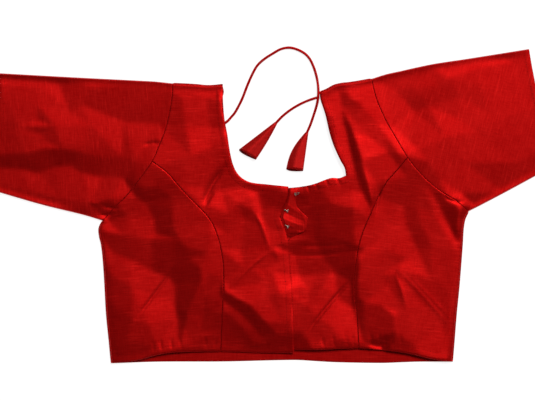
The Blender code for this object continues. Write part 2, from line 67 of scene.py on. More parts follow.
def makeCamera():
    data = bpy.data.cameras.new("overheadCamera")
    data.lens = view["lens"]
    data.sensor_width = view["sensor"]
    camera = placed("overheadCamera", data)
    camera.location = (*view["centre"], view["height"])
    bpy.context.scene.camera = camera


makeCamera()
print("camera placed")


# the geometry helpers work in metres, in the frame's own axes
def lengthsAlong(points):
    return np.concatenate([[0.0], np.cumsum(np.linalg.norm(np.diff(points, axis=0), axis=1))])


def evenly(points, step):
    along = lengthsAlong(points)
    count = max(2, int(round(along[-1] / step)) + 1)
    wanted = np.linspace(0.0, along[-1], count)
    return np.stack([np.interp(wanted, along, points[:, k]) for k in range(points.shape[1])], 1)


def smoothPath(rows, perSpan=12):
    # a curve through every row, with no corner in it
    rows = np.array(rows, float)
    ends = np.vstack([2 * rows[0] - rows[1], rows, 2 * rows[-1] - rows[-2]])
    runs = []
    for before, start, end, after in zip(ends, ends[1:], ends[2:], ends[3:]):
        reach = np.linalg.norm(end - start)
        leave = (end - before) / max(np.linalg.norm(end - before), 1e-9) * reach
        arrive = (after - start) / max(np.linalg.norm(after - start), 1e-9) * reach
        t = np.linspace(0.0, 1.0, perSpan)[:, None]
        runs.append((2 * t**3 - 3 * t**2 + 1) * start + (t**3 - 2 * t**2 + t) * leave
                    + (3 * t**2 - 2 * t**3) * end + (t**3 - t**2) * arrive)
    return np.vstack([run[:-1] for run in runs] + [rows[-1:]])


def eased(value):
    value = np.clip(value, 0.0, 1.0)
    return value * value * (3.0 - 2.0 * value)


def nearestOn(points, path):
    # distance to a path, signed + on its left, and the share of the way along it
    start, along = path[:-1], np.diff(path, axis=0)
    size = np.maximum((along**2).sum(1), 1e-18)
    travelled = lengthsAlong(path)
    gap = np.empty(len(points))
    share = np.empty(len(points))
    for low in range(0, len(points), 20000):
        part = points[low:low + 20000]
        away = part[:, None] - start[None]
        t = np.clip((away * along).sum(2) / size, 0.0, 1.0)
        off = away - t[..., None] * along
        far = (off**2).sum(2)
        best = far.argmin(1)
        rows = np.arange(len(part))
        side = along[best, 0] * off[rows, best, 1] - along[best, 1] * off[rows, best, 0]
        gap[low:low + 20000] = np.sqrt(far[rows, best]) * np.where(side < 0, -1.0, 1.0)
        steps = travelled[best] + t[rows, best] * np.sqrt(size[best])
        share[low:low + 20000] = steps / travelled[-1]
    return gap, share


def distanceTo(points, paths):
    return np.min([np.abs(nearestOn(points, path)[0]) for path in paths], axis=0)


def inside(outline, points):
    ahead = np.roll(outline, -1, axis=0)
    found = np.zeros(len(points), bool)
    for low in range(0, len(points), 20000):
        x, y = points[low:low + 20000, None, 0], points[low:low + 20000, None, 1]
        crosses = (outline[:, 1] > y) != (ahead[:, 1] > y)
        rise = np.where(ahead[:, 1] == outline[:, 1], 1.0, ahead[:, 1] - outline[:, 1])
        at = outline[:, 0] + (y - outline[:, 1]) / rise * (ahead - outline)[:, 0]
        found[low:low + 20000] = (crosses & (x < at)).sum(axis=1) % 2 == 1
    return found


def inset(outline, distance):
    ahead = np.roll(outline, -1, axis=0) - outline
    ahead /= np.linalg.norm(ahead, axis=1)[:, None]
    both = ahead + np.roll(ahead, 1, axis=0)
    inward = np.stack([-both[:, 1], both[:, 0]], 1)
    inward /= np.maximum(np.linalg.norm(inward, axis=1), 1e-9)[:, None]
    across = np.abs(inward[:, 0] * -ahead[:, 1] + inward[:, 1] * ahead[:, 0])
    return outline + inward / np.maximum(across, 0.6)[:, None] * distance


def upperRim(name, lowest):
    # the rim of a frame solid's upper face, as a closed run of points with their heights
    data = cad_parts[name].data
    corners = np.array([v.co for v in data.vertices])
    _, keep, merged = np.unique(np.round(corners, 6), axis=0, return_index=True, return_inverse=True)
    corners = corners[keep]
    merged = merged.reshape(-1)
    sides = set()
    for face in data.polygons:
        loop = [int(merged[k]) for k in face.vertices]
        if len(set(loop)) < 3 or face.normal.z < 0.2 or corners[loop, 2].mean() < lowest:
            continue
        sides.update(zip(loop, loop[1:] + loop[:1]))
    following = {a: b for a, b in sides if (b, a) not in sides}
    start = min(following)
    run = [start]
    while following[run[-1]] != start:
        run.append(following[run[-1]])
    return corners[run]


def cornersOf(rim, sharp=32.0):
    ahead = np.roll(rim, -1, axis=0)[:, :2] - rim[:, :2]
    angle = np.unwrap(np.arctan2(ahead[:, 1], ahead[:, 0]))
    turn = np.abs(np.degrees((angle - np.roll(angle, 1) + math.pi) % (2 * math.pi) - math.pi))
    return [k for k in range(len(rim)) if turn[k] > sharp]


def smoothRim(rim, step):
    # corners stay, and the runs between them become smooth edges
    corners = cornersOf(rim)
    runs = []
    for start, end in zip(corners, corners[1:] + [corners[0] + len(rim)]):
        rows = rim[[k % len(rim) for k in range(start, end + 1)]]
        runs.append(evenly(smoothPath(rows), step)[:-1])
    return np.vstack(runs)


panelNodes = ["front_centre_right", "front_side_right", "front_centre_left", "front_side_left",
              "underlap_strip", "back_panel"]
sleeveNodes = ["sleeve_right", "sleeve_left"]
outlines = dict(
    step=(1.6 if fine else 2.6) * mm,
    sleeveLowest=2.0 * mm,   # a sleeve's faces below this belong to its lower layer
    closedLevel=3.1 * mm,    # a rim this low is a fold or a seam onto the layer below
    sewnReach=0.9 * mm,      # rims this near each other are sewn together
)
rims = {}
for name in panelNodes + sleeveNodes:
    lowest = outlines["sleeveLowest"] if name in sleeveNodes else 0.0
    rims[name] = smoothRim(upperRim(name, lowest), outlines["step"])


def runsWhere(rim, wanted):
    # stretches of a closed rim on which wanted holds
    if wanted.all():
        return [np.vstack([rim, rim[:1]])]
    first = int(np.argmin(wanted))
    rim, wanted = np.roll(rim, -first, axis=0), np.roll(wanted, -first)
    runs, current = [], []
    for point, held in zip(rim, wanted):
        if held:
            current.append(point)
        elif current:
            runs.append(np.array(current))
            current = []
    if current:
        runs.append(np.array(current))
    return [run for run in runs if len(run) > 2]


frontNodes = panelNodes[:4]
closedEdges, seamEdges, openEdges = [], {}, {}
for name in frontNodes + sleeveNodes:
    rim = rims[name]
    low = rim[:, 2] < outlines["closedLevel"]
    others = [np.vstack([rims[other], rims[other][:1]])[:, :2]
              for other in frontNodes + sleeveNodes if other != name]
    sewn = (distanceTo(rim[:, :2], others) < outlines["sewnReach"]) & ~low
    closedEdges += [run[:, :2] for run in runsWhere(rim, low)]
    seamEdges[name] = [run[:, :2] for run in runsWhere(rim, sewn)]
    openEdges[name] = [run[:, :2] for run in runsWhere(rim, ~low & ~sewn)]
print("outlines read:", {name: len(rim) for name, rim in rims.items()})

cloth = dict(
    edgeLevel=2.4 * mm,      # upper face at a closed edge
    roll=3.8 * mm,           # quick rise of a folded edge
    rollReach=1.4 * mm,
    puff=2.0 * mm,           # slow rise towards the middle
    puffReach=75.0 * mm,
    foldReach=6.0 * mm,      # creases fade this near a closed edge
    lapDrop=2.2 * mm,        # left front below the right at the lap
    lapStart=4 * mm,
    lapRecovery=60.0 * mm,
    lapLowest=1.9 * mm,
    lowest=2.2 * mm,         # never nearer the table than this, whatever the fold
    lowestBlend=0.8 * mm,
    thickness=0.8 * mm,
    rimBulge=0.4,            # how far an edge rounds out, as a share of the thickness
    seamDepth=0.15 * mm,
    seamReach=0.55 * mm,
    bandWidth=7.0 * mm,      # turned edges: a thicker band with a rounded lip
    bandRise=0.12 * mm,
    bandBlend=1.4 * mm,
    lipDrop=0.3 * mm,
    lipReach=0.8 * mm,
    facetBlend=2.0 * mm,     # how softly the silk turns from one facet to the next
    facetGain=1.15,          # how strongly the facets stand out, all together
)

# The silk lies in facets. Each row is a line along a ridge or down a trough:
# x, y and height over the cloth's general level, all in mm.
facetLines = (
    # beyond the open edges, so that the facets run on to them
    ((-62, 178, 1.6), (-56, 140, 1.6), (-52, 104, 1.0), (-46, 72, 0.4), (-30, 45, 0.0),
     (0, 39, 0.0), (30, 40, 1.0), (60, 44, 2.4), (86, 54, 1.6), (80, 82, 0.0), (72, 112, 0.0),
     (64, 142, 0.0), (56, 172, 0.0)),
    ((-236, -234, 1.0), (-196, -226, 2.4), (-150, -215, 2.0), (-110, -209, -2.0), (-70, -209, -3.4),
     (-30, -211, -3.4), (14, -213, -2.2), (60, -209, 4.0), (110, -209, -0.4), (160, -211, 0.4),
     (210, -217, 3.0), (256, -222, 2.4)),
    ((-394, 190, 0.0), (-394, 130, 0.0), (-394, 88, 0.0), (-394, 62, 0.0), (-394, 20, 0.0)),
    ((366, 226, 0.0), (382, 176, 0.0), (392, 130, 0.0), (398, 84, 0.0), (400, 40, 0.0)),
    ((-384, 186, -1.6), (-300, 182, -1.8), (-210, 178, -1.0), (-140, 176, -1.0), (-76, 174, -1.6)),
    ((-376, 12, -1.0), (-310, -6, -1.2), (-262, -14, 0.4)),
    ((-246, -34, 0.6), (-242, -110, 2.4), (-240, -190, 2.4)),
    ((100, 176, -1.4), (150, 190, -1.6), (220, 204, -1.4), (290, 218, -1.2), (340, 230, -0.8)),
    ((280, 0, -1.0), (324, 18, -1.0), (372, 36, -0.8)),
    # right sleeve
    ((-326, 140, 0.4), (-323, 118, 0.2)),
    ((-318, 100, 0.2), (-314, 90, 0.4)),
    ((-262, 140, -0.8), (-252, 112, -0.4), (-236, 96, -0.4)),
    ((-206, 142, -1.2), (-178, 140, -1.0)),
    ((-378, 30, -0.6), (-335, 20, -0.6), (-292, 10, -0.6), (-252, 4, 0.6), (-222, 10, 1.4)),
    ((-386, 54, -1.0), (-345, 52, -1.6), (-322, 46, -2.0), (-302, 54, -2.0), (-280, 57, -2.2),
     (-262, 46, -2.2), (-235, 41, -2.2), (-206, 40, -0.6), (-190, 44, 1.0)),
    ((-386, 70, 1.2), (-345, 73, 1.2), (-315, 79, 1.2), (-290, 79, 1.0), (-262, 74, -0.2),
     (-235, 67, -0.6), (-208, 67, -0.6), (-190, 62, 0.4)),
    ((-238, 130, -1.4), (-205, 117, -2.0), (-158, 114, -1.8)),
    ((-208, 166, -0.4), (-175, 165, -0.4), (-146, 162, -0.4)),
    ((-250, 165, 0.0), (-280, 130, -0.4)),
    ((-378, 168, -0.2), (-320, 165, -0.4)),
    ((-350, 110, 1.2), (-300, 110, 1.0)),
    # right side panel
    ((-182, 25, 1.6), (-160, 26, 1.8), (-141, 22, 2.0), (-136, 12, 2.0), (-139, -5, 1.8),
     (-137, -30, 2.0), (-129, -46, 2.2), (-118, -58, 2.2), (-115, -72, 1.2), (-107, -80, 2.2),
     (-98, -90, 3.0), (-97, -104, 3.0), (-106, -124, 2.6), (-117, -150, 1.6), (-121, -168, 1.0)),
    ((-187, 12, -0.6), (-173, 4, -1.2), (-163, -18, -1.4), (-161, -38, -1.2)),
    ((-206, -40, 0.2), (-186, -44, 0.0), (-168, -46, -0.4)),
    ((-220, -64, -0.8), (-190, -76, -0.8), (-165, -90, -1.4), (-142, -98, -2.6),
     (-133, -110, -2.6), (-134, -135, -2.2), (-130, -156, -1.8)),
    ((-197, -90, 0.2), (-195, -112, 1.2), (-193, -156, 2.6)),
    ((-232, -90, 0.6), (-229, -130, 0.4), (-225, -180, 0.2), (-219, -208, 0.2)),
    ((-170, -164, 2.0), (-200, -184, 2.4), (-214, -196, 1.2)),
    ((-206, -213, 0.6), (-180, -208, 0.8)),
    ((-160, -196, 1.4), (-128, -194, 1.6)),
    ((-108, -194, -0.8), (-97, -174, -0.8), (-86, -148, 0.8)),
    ((-72, -60, 1.4), (-69, -100, 1.4), (-70, -134, 1.4)),
    ((-166, 54, 2.2), (-130, 30, 2.8), (-101, 4, 1.8), (-86, -22, 1.6)),
    ((-228, -20, -1.2), (-200, -14, -0.6)),
    # right front
    ((-126, 150, 0.0), (-120, 110, 0.6), (-112, 70, 2.6)),
    ((-90, 150, 0.0), (-86, 110, 0.0), (-84, 80, 1.4)),
    ((-62, -38, 0.6), (-38, -17, -0.4), (-24, -8, 0.6), (-12, -28, 0.8), (-6, -54, 1.0),
     (-3, -64, 0.6), (-30, -83, 1.8), (-58, -114, 2.6)),
    ((-16, -12, 0.0), (-5, -30, 0.2), (2, -54, 0.4)),
    ((-70, 22, -0.8), (-40, 26, -1.2), (-20, 20, -1.0)),
    ((-14, -4, -0.6), (0, -2, 0.4), (14, 20, 2.2)),
    ((-68, -118, 3.4), (-32, -138, 4.0), (-9, -162, 3.2), (6, -178, 1.0)),
    ((-66, -130, 1.0), (-40, -149, 0.4), (-19, -174, -0.6), (-8, -190, -1.4)),
    ((-96, -180, -0.6), (-74, -172, -1.2), (-56, -178, -1.8), (-40, -188, -2.4)),
    ((-64, -147, 1.0), (-44, -166, 0.0), (-24, -192, -1.6)),
    ((-62, -194, -3.0), (-42, -196, -3.0), (-20, -198, -3.0), (8, -199, -1.6)),
    ((2, -92, 1.0), (10, -120, 2.2), (14, -160, 1.6)),
    ((-12, -88, 1.0), (-9, -104, 1.6), (-6, -124, 2.4)),
    ((4, -64, 1.0), (10, -78, 0.0)),
    ((-44, -60, 0.2), (-40, -84, 1.6)),
    ((-30, 12, 0.2), (-48, 4, 0.8), (-62, -10, 1.2)),
    ((-84, -40, 2.2), (-88, -64, 2.6), (-90, -92, 2.4), (-92, -122, 1.4), (-96, -150, 0.0)),
    # left front
    ((104, 164, -0.4), (107, 150, 0.6), (124, 138, 1.0), (144, 116, 1.0), (158, 96, 1.0),
     (176, 71, 2.0)),
    ((93, 160, -1.0), (97, 138, -0.4), (116, 115, 1.0), (136, 95, 1.4), (160, 75, 1.0)),
    ((98, 124, -0.2), (104, 104, -0.4), (108, 84, 0.0), (113, 62, 0.6), (118, 40, 1.6),
     (127, 18, 1.8), (136, 0, 1.6)),
    ((101, 122, 0.6), (109, 104, 1.6), (116, 84, 3.2), (123, 62, 4.0), (131, 34, 4.2),
     (139, 4, 3.4)),
    ((84, 120, 0.6), (88, 80, 1.0), (100, 50, 1.2)),
    ((46, 17, 2.4), (66, 27, 2.2), (94, 31, 1.6), (109, 22, 1.6), (113, -4, 3.6),
     (112, -30, 2.6), (116, -56, 2.6)),
    ((32, -67, -3.0), (70, -68, -3.4), (112, -62, 1.0)),
    ((36, -95, -3.0), (64, -95, -3.2), (86, -90, -2.8)),
    ((32, -130, 0.4), (50, -140, 1.6), (64, -156, 2.0), (44, -176, 2.6)),
    ((76, -188, 2.8), (100, -186, 2.2)),
    ((110, -104, -0.6), (112, -140, -1.0)),
    ((52, 2, 0.6), (60, -20, -1.2), (58, -44, -2.4)),
    ((80, 4, 1.8), (90, -18, 1.2), (92, -44, 0.4)),
    ((72, -112, -0.6), (92, -128, -1.0), (96, -150, 0.4), (80, -166, 2.2)),
    ((36, -112, -0.8), (52, -118, -0.8)),
    # left side panel
    ((120, -76, 3.0), (117, -104, 3.0), (117, -126, 2.2)),
    ((152, 10, 0.4), (160, -24, -0.4), (150, -44, 0.4)),
    ((142, 30, 1.8), (138, -20, 1.6), (128, -60, 2.2)),
    ((152, -60, 0.6), (150, -95, 0.6), (140, -124, 1.0)),
    ((187, 40, 0.8), (181, 0, -1.4), (187, -30, -1.4), (201, -60, -1.0), (219, -100, 0.8),
     (234, -134, 0.4)),
    ((199, 34, 0.2), (199, 0, -0.2), (206, -26, 0.2), (221, -56, 0.4), (238, -92, 0.6),
     (248, -118, 0.6)),
    ((210, 26, 0.6), (224, -10, 0.4), (242, -42, 0.4), (254, -60, 0.8)),
    ((219, 24, 0.4), (232, 0, -0.2), (246, -28, -0.6), (257, -48, 0.0)),
    ((240, 16, 1.8), (258, -4, 3.4), (261, -34, 3.0)),
    ((172, -82, -0.2), (188, -72, -0.4)),
    ((176, -90, 1.0), (192, -118, 1.0), (214, -142, 0.8), (236, -164, 0.4)),
    ((168, -96, 0.6), (180, -114, 1.8), (184, -140, 2.0)),
    ((160, -106, 0.4), (171, -126, 1.4), (175, -146, 2.0)),
    ((126, -134, 1.6), (150, -137, 1.8), (168, -152, 2.8), (170, -176, 2.8)),
    ((128, -190, 0.0), (150, -194, -2.8), (166, -190, 2.0)),
    ((196, -192, 2.4), (236, -196, 1.6)),
    # left sleeve
    ((172, 160, -1.0), (190, 164, -1.0), (206, 152, -0.8)),
    ((168, 110, -0.6), (186, 92, -0.2), (204, 78, 1.2)),
    ((244, 176, 0.4), (262, 150, 0.0), (256, 122, 0.2)),
    ((290, 192, 0.2), (288, 168, 0.2)),
    ((150, 172, -0.8), (186, 182, -0.8), (222, 190, -0.6), (227, 165, -0.2), (217, 138, -1.0)),
    ((160, 150, -0.6), (184, 146, -1.6), (196, 132, -2.0)),
    ((238, 96, 1.4), (214, 62, 1.8), (232, 36, 1.2), (262, 18, 0.8)),
    ((332, 200, -0.8), (316, 160, -0.7), (299, 130, -0.5), (284, 100, -0.2), (266, 60, 0.4)),
    ((356, 150, -0.4), (350, 100, 0.0), (336, 60, 0.2)),
)
reliefFrame = dict(low=(-430.0, -260.0), high=(430.0, 260.0), step=2.0)


def makeRelief():
    # a height map over the whole blouse: flat facets between the lines, blended a little
    low, high, step = (np.array(reliefFrame["low"]), np.array(reliefFrame["high"]),
                       reliefFrame["step"])
    rows, links = [], []
    for line in facetLines:
        start = len(rows)
        rows += line
        links += [(start + k, start + k + 1) for k in range(len(line) - 1)]
    rows += [(x, y, 0.0) for x in np.linspace(low[0], high[0], 9) for y in (low[1], high[1])]
    rows += [(x, y, 0.0) for y in np.linspace(low[1], high[1], 7)[1:-1] for x in (low[0], high[0])]
    heights = [row[2] * cloth["facetGain"] for row in rows]
    found, _, faces, owners, _, _ = delaunay_2d_cdt([Vector(row[:2]) for row in rows], links, [],
                                                    0, 1e-6)
    found = np.array([tuple(point) for point in found])
    level = np.array([np.mean([heights[k] for k in share]) if share else np.nan for share in owners])
    assert not np.isnan(level).any(), "facet lines cross"
    columns, lines = ((high - low) / step).astype(int) + 1
    heightMap = np.zeros((lines, columns))
    for face in faces:
        corner, z = found[list(face)], level[list(face)]
        first = np.maximum(np.floor((corner.min(axis=0) - low) / step).astype(int), 0)
        last = np.minimum(np.ceil((corner.max(axis=0) - low) / step).astype(int) + 1,
                          (columns, lines))
        gx, gy = np.meshgrid(np.arange(first[0], last[0]), np.arange(first[1], last[1]))
        spot = np.stack([gx.ravel(), gy.ravel()], 1) * step + low - corner[0]
        sides = np.stack([corner[1] - corner[0], corner[2] - corner[0]], 1)
        shares = spot @ np.linalg.inv(sides).T
        within = (shares.min(axis=1) >= -1e-6) & (shares.sum(axis=1) <= 1 + 1e-6)
        values = z[0] + shares @ (z[1:] - z[0])
        heightMap[gy.ravel()[within], gx.ravel()[within]] = values[within]
    spread = cloth["facetBlend"] / mm / step
    taps = np.arange(-int(3 * spread) - 1, int(3 * spread) + 2)
    weights = np.exp(-0.5 * (taps / spread) ** 2)
    weights /= weights.sum()
    for axis in (0, 1):
        heightMap = np.apply_along_axis(lambda row: np.convolve(row, weights, "same"), axis, heightMap)
    return heightMap


relief = makeRelief()


def reliefHeight(points):
    # cubic B-spline reading of the map, so that no step shows in the sheen
    at = (points / mm - reliefFrame["low"]) / reliefFrame["step"]
    whole = np.clip(np.floor(at).astype(int), 1, np.array(relief.shape)[::-1] - 3)
    t = np.clip(at - whole, 0.0, 1.0)
    weights = ((1 - t) ** 3 / 6, (3 * t**3 - 6 * t**2 + 4) / 6,
               (-3 * t**3 + 3 * t**2 + 3 * t + 1) / 6, t**3 / 6)
    total = np.zeros(len(points))
    for row in range(4):
        for column in range(4):
            share = weights[column][:, 0] * weights[row][:, 1]
            total += share * relief[whole[:, 1] + row - 1, whole[:, 0] + column - 1]
    return total * mm


# Sharp creases: start, middle and end (x, y), half width on the left and on the right of the
# way along, height; all in mm. A narrow side makes a crease and a wide one a slope.
creases = (
    ((-64, 54), (-86, 32), (-97, -3), 3, 5, -1.6),
    ((-80, 22), (-88, 10), (-93, -3), 2, 3, -0.9),
    ((-139, -90), (-162, -122), (-188, -156), 1.6, 2.2, -1.0),
    ((116, -97), (88, -122), (45, -179), 1.6, 2.4, -1.2),
    ((27, -69), (70, -70), (116, -61), 2.4, 1.8, -0.4),
    ((36, -54), (70, -57), (100, -52), 1.6, 2.0, -0.35),
    ((-178, 84), (-166, 89), (-154, 87), 2, 3, -0.8),
    ((153, 32), (146, 8), (144, -12), 1.6, 2.6, -0.7),
    ((-25, -8), (-12, -28), (-4, -60), 1.6, 2.4, 0.5),
    ((-2, -63), (-30, -80), (-58, -112), 2.0, 2.6, 0.5),
    # underarms
    ((-236, 2), (-226, -4), (-212, -2), 2.0, 3.0, -0.7),
    ((-238, -12), (-230, -14), (-220, -10), 2.0, 3.0, -0.8),
    ((-252, 6), (-246, 2), (-238, 4), 2.0, 2.0, 0.4),
    ((262, 6), (248, 4), (238, 14), 2.0, 3.0, -1.0),
    ((175, -90), (205, -118), (240, -160), 2.0, 2.4, 0.3),
    ((190, -96), (214, -122), (244, -152), 2.0, 2.4, 0.2),
    ((170, -95), (180, -115), (184, -138), 2.0, 3.0, 0.5),
    # puckers of the hem
    ((-165, -186), (-164, -193), (-164, -202), 1.6, 1.6, -0.4),
    ((-155, -184), (-154, -191), (-153, -199), 1.6, 1.6, -0.4),
    ((-140, -184), (-139, -191), (-139, -198), 1.6, 1.6, -0.4),
    ((-127, -183), (-127, -190), (-126, -197), 1.6, 1.6, -0.4),
    ((-93, -182), (-92, -189), (-92, -196), 1.6, 1.6, -0.4),
    ((-80, -182), (-79, -189), (-79, -196), 1.6, 1.6, -0.4),
    ((69, -181), (70, -187), (71, -195), 1.6, 1.6, -0.4),
    ((84, -179), (85, -186), (86, -195), 1.6, 1.6, -0.4),
    ((102, -178), (103, -186), (104, -195), 1.8, 1.8, -0.4),
    ((112, -178), (112, -186), (113, -195), 1.6, 1.6, -0.4),
    ((136, -176), (137, -185), (137, -195), 2.0, 2.0, -0.6),
    ((148, -176), (149, -185), (150, -195), 1.6, 1.6, -0.5),
    ((155, -176), (156, -185), (157, -196), 1.6, 1.6, -0.5),
    ((165, -176), (166, -185), (166, -196), 1.6, 1.6, -0.4),
    ((178, -178), (178, -186), (178, -196), 1.6, 1.6, -0.3),
    # puckers of the neck's turned edge
    ((-71, 150), (-69, 138), (-68, 122), 1.2, 1.6, -0.5),
    ((-66, 112), (-63, 98), (-60, 84), 1.2, 1.6, -0.5),
    ((-74, 160), (-73, 150), (-73, 140), 1.2, 1.2, 0.4),
    ((48, 30), (50, 25), (51, 19), 1.4, 1.4, -0.5),
    ((60, 33), (61, 28), (63, 22), 1.4, 1.4, -0.5),
    ((74, 38), (75, 33), (78, 27), 1.4, 1.4, -0.5),
    ((88, 42), (90, 36), (94, 30), 1.6, 1.6, -0.6),
)


def creaseHeight(points, rows):
    total = np.zeros(len(points))
    for start, middle, end, left, right, height in rows:
        t = np.linspace(0.0, 1.0, 13)[:, None]
        start, middle, end = (np.array(place, float) * mm for place in (start, middle, end))
        path = (1 - t) * ((1 - t) * start + t * middle) + t * ((1 - t) * middle + t * end)
        gap, share = nearestOn(points, path)
        width = np.where(gap > 0, left, right) * mm
        soft = np.sqrt((gap / width) ** 2 + 0.02)
        fade = 0.25 + 0.75 * eased(share / 0.3) * eased((1 - share) / 0.3)
        total += height * mm * fade * np.exp(-soft**1.5)
    return total


def clothHeight(points):
    near = distanceTo(points, closedEdges)
    rise = cloth["roll"] * np.clip(near / cloth["rollReach"], 0.0, 1.0)
    rise += cloth["puff"] * (1.0 - np.exp(-near / cloth["puffReach"]))
    away = 1.0 - np.exp(-((near / cloth["foldReach"]) ** 2))
    folds = (creaseHeight(points, creases) + reliefHeight(points)) * away
    level = cloth["edgeLevel"] + rise + folds - cloth["lowest"]
    return cloth["lowest"] + 0.5 * (level + np.sqrt(level**2 + cloth["lowestBlend"] ** 2))


lap = dict(middle=20 * mm, reach=20 * mm, top=26.8 * mm)     # where the lap edge is looked for


def findLapEdge():
    rim = rims["front_centre_right"]
    onLap = (np.abs(rim[:, 0] - lap["middle"]) < lap["reach"]) & (rim[:, 1] < lap["top"])
    run = max(runsWhere(rim, onLap), key=len)[:, :2]
    return run[np.argsort(run[:, 1])]


lapEdge = findLapEdge()


def lapGap(points):
    # how far a point is to the wearer's left of the lap edge
    return points[:, 0] - np.interp(points[:, 1], lapEdge[:, 1], lapEdge[:, 0])


def leftHeight(points):
    drop = 1.0 - eased((lapGap(points) - cloth["lapStart"]) / cloth["lapRecovery"])
    return np.maximum(clothHeight(points) - cloth["lapDrop"] * drop, cloth["lapLowest"])


def heightFor(name):
    return leftHeight if name in ("front_centre_left", "front_side_left") else clothHeight


def netOver(outline, step, rows=(0.7, 1.4, 1.8, 2.8, 4.4, 6.6)):
    # triangles over an outline, with rows of points along its edge so that edges roll smoothly
    low, high = outline.min(axis=0), outline.max(axis=0)
    grid = []
    for k, y in enumerate(np.arange(low[1], high[1], step * math.sqrt(3) / 2)):
        x = np.arange(low[0] + step * 0.5 * (k % 2), high[0], step)
        grid.append(np.stack([x, np.full(len(x), y)], 1))
    grid = np.vstack(grid)
    loop = np.vstack([outline, outline[:1]])
    grid = grid[inside(outline, grid)]
    grid = grid[distanceTo(grid, [loop]) > (rows[-1] * mm + 0.6 * step)]
    sets = [outline]
    for distance in rows:
        row = inset(outline, distance * mm)
        good = inside(outline, row) & (distanceTo(row, [loop]) > 0.85 * distance * mm)
        sets.append(row[good])
    sets.append(grid)
    points = np.vstack(sets)
    loops = [list(range(len(outline)))]
    found, _, faces, _, _, _ = delaunay_2d_cdt([Vector(p) for p in points], [], loops, 1, 1e-9)
    return np.array([tuple(p) for p in found]), np.array([list(face) for face in faces])


def rimOf(faces):
    sides = np.vstack([faces[:, [0, 1]], faces[:, [1, 2]], faces[:, [2, 0]]])
    known = set(map(tuple, sides.tolist()))
    return [(a, b) for a, b in known if (b, a) not in known]


def vertexNormals(points, faces):
    across = np.cross(points[faces[:, 1]] - points[faces[:, 0]],
                      points[faces[:, 2]] - points[faces[:, 0]])
    normals = np.zeros_like(points)
    for k in range(3):
        np.add.at(normals, faces[:, k], across)
    return normals / np.maximum(np.linalg.norm(normals, axis=1), 1e-12)[:, None]


def layThreads(mesh, uv):
    # the weave follows this map, which has one place for each point
    layer = mesh.uv_layers.get("cloth") or mesh.uv_layers.new(name="cloth")
    corners = np.empty(len(mesh.loops), np.int32)
    mesh.loops.foreach_get("vertex_index", corners)
    layer.data.foreach_set("uv", uv[corners].astype(np.float32).ravel())


def newPiece(name, points, faces, material, grain=0.0, uv=None):
    mesh = bpy.data.meshes.new(name)
    mesh.from_pydata(points.tolist(), [], [list(map(int, face)) for face in faces])
    if uv is None:
        turn = math.radians(grain)
        uv = np.stack([points[:, 0] * math.cos(turn) + points[:, 1] * math.sin(turn),
                       points[:, 1] * math.cos(turn) - points[:, 0] * math.sin(turn)], 1)
    layThreads(mesh, uv)
    mesh.shade_smooth()
    mesh.materials.append(material)
    return placed(name, mesh)


def standsFor(piece, node):
    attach(piece, "root")
    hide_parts(node)


def thickened(points, faces, thickness):
    # a thin closed shell: the given face, a rounded rim, and a lower face
    normals = vertexNormals(points, faces)
    lower = points - normals * thickness
    rim = rimOf(faces)
    following = dict(rim)
    before = {b: a for a, b in rim}
    outward = {}
    for a in following:
        way = points[following[a]] - points[before[a]]
        out = np.array([way[1], -way[0], 0.0])
        outward[a] = out / max(np.linalg.norm(out), 1e-12)
    count = len(points)
    index = {a: 2 * count + k for k, a in enumerate(following)}
    middle = np.array([(points[a] + lower[a]) / 2 + outward[a] * thickness * cloth["rimBulge"]
                       for a in following])
    allPoints = np.vstack([points, lower, middle])
    allFaces = [tuple(face) for face in faces]
    allFaces += [tuple(count + k for k in face[::-1]) for face in faces]
    for a, b in rim:
        allFaces.append((b, a, index[a], index[b]))
        allFaces.append((index[b], index[a], count + a, count + b))
    return allPoints, allFaces


def edgeShape(name, points):
    # seams dip, and turned edges stand up a little
    bySeam = distanceTo(points, seamEdges[name])
    byEdge = distanceTo(points, openEdges[name])
    height = -cloth["seamDepth"] * np.exp(-((bySeam / cloth["seamReach"]) ** 1.4))
    height += cloth["bandRise"] * (1.0 - eased((byEdge - cloth["bandWidth"]) / cloth["bandBlend"]))
    return height - cloth["lipDrop"] * np.exp(-((byEdge / cloth["lipReach"]) ** 2))


def declareSheet(piece, node):
    standsFor(piece, node)


def nodeOf(tree, kind, **inputs):
    node = tree.nodes.new(kind)
    for name, value in inputs.items():
        if name in node.inputs:
            node.inputs[name].default_value = value
        else:
            setattr(node, name, value)
    return node


silk = dict(
    dark=(0.37, 0.0012, 0.0014),
    light=(0.62, 0.0085, 0.0072),
    roughness=0.46,
    metallic=0.85,
    specular=0.05,
    bump=0.10,
    bumpHeight=0.25 * mm,
    rampStops=(0.12, 0.80),
)
# rows of the weave: scale along and across the threads, low and high of the noise, weight
weave = dict(
    threads=(55.0, 820.0, 0.25, 0.75, 0.38),
    slubs=(32.0, 380.0, 0.54, 0.80, 0.40),
    warp=(700.0, 60.0, 0.25, 0.75, 0.26),
    clouds=(18.0, 26.0, 0.25, 0.75, 0.16),
)


def newFinish(name):
    material = bpy.data.materials.new(name)
    material.use_nodes = True
    tree = material.node_tree
    return material, tree, tree.nodes["Principled BSDF"]


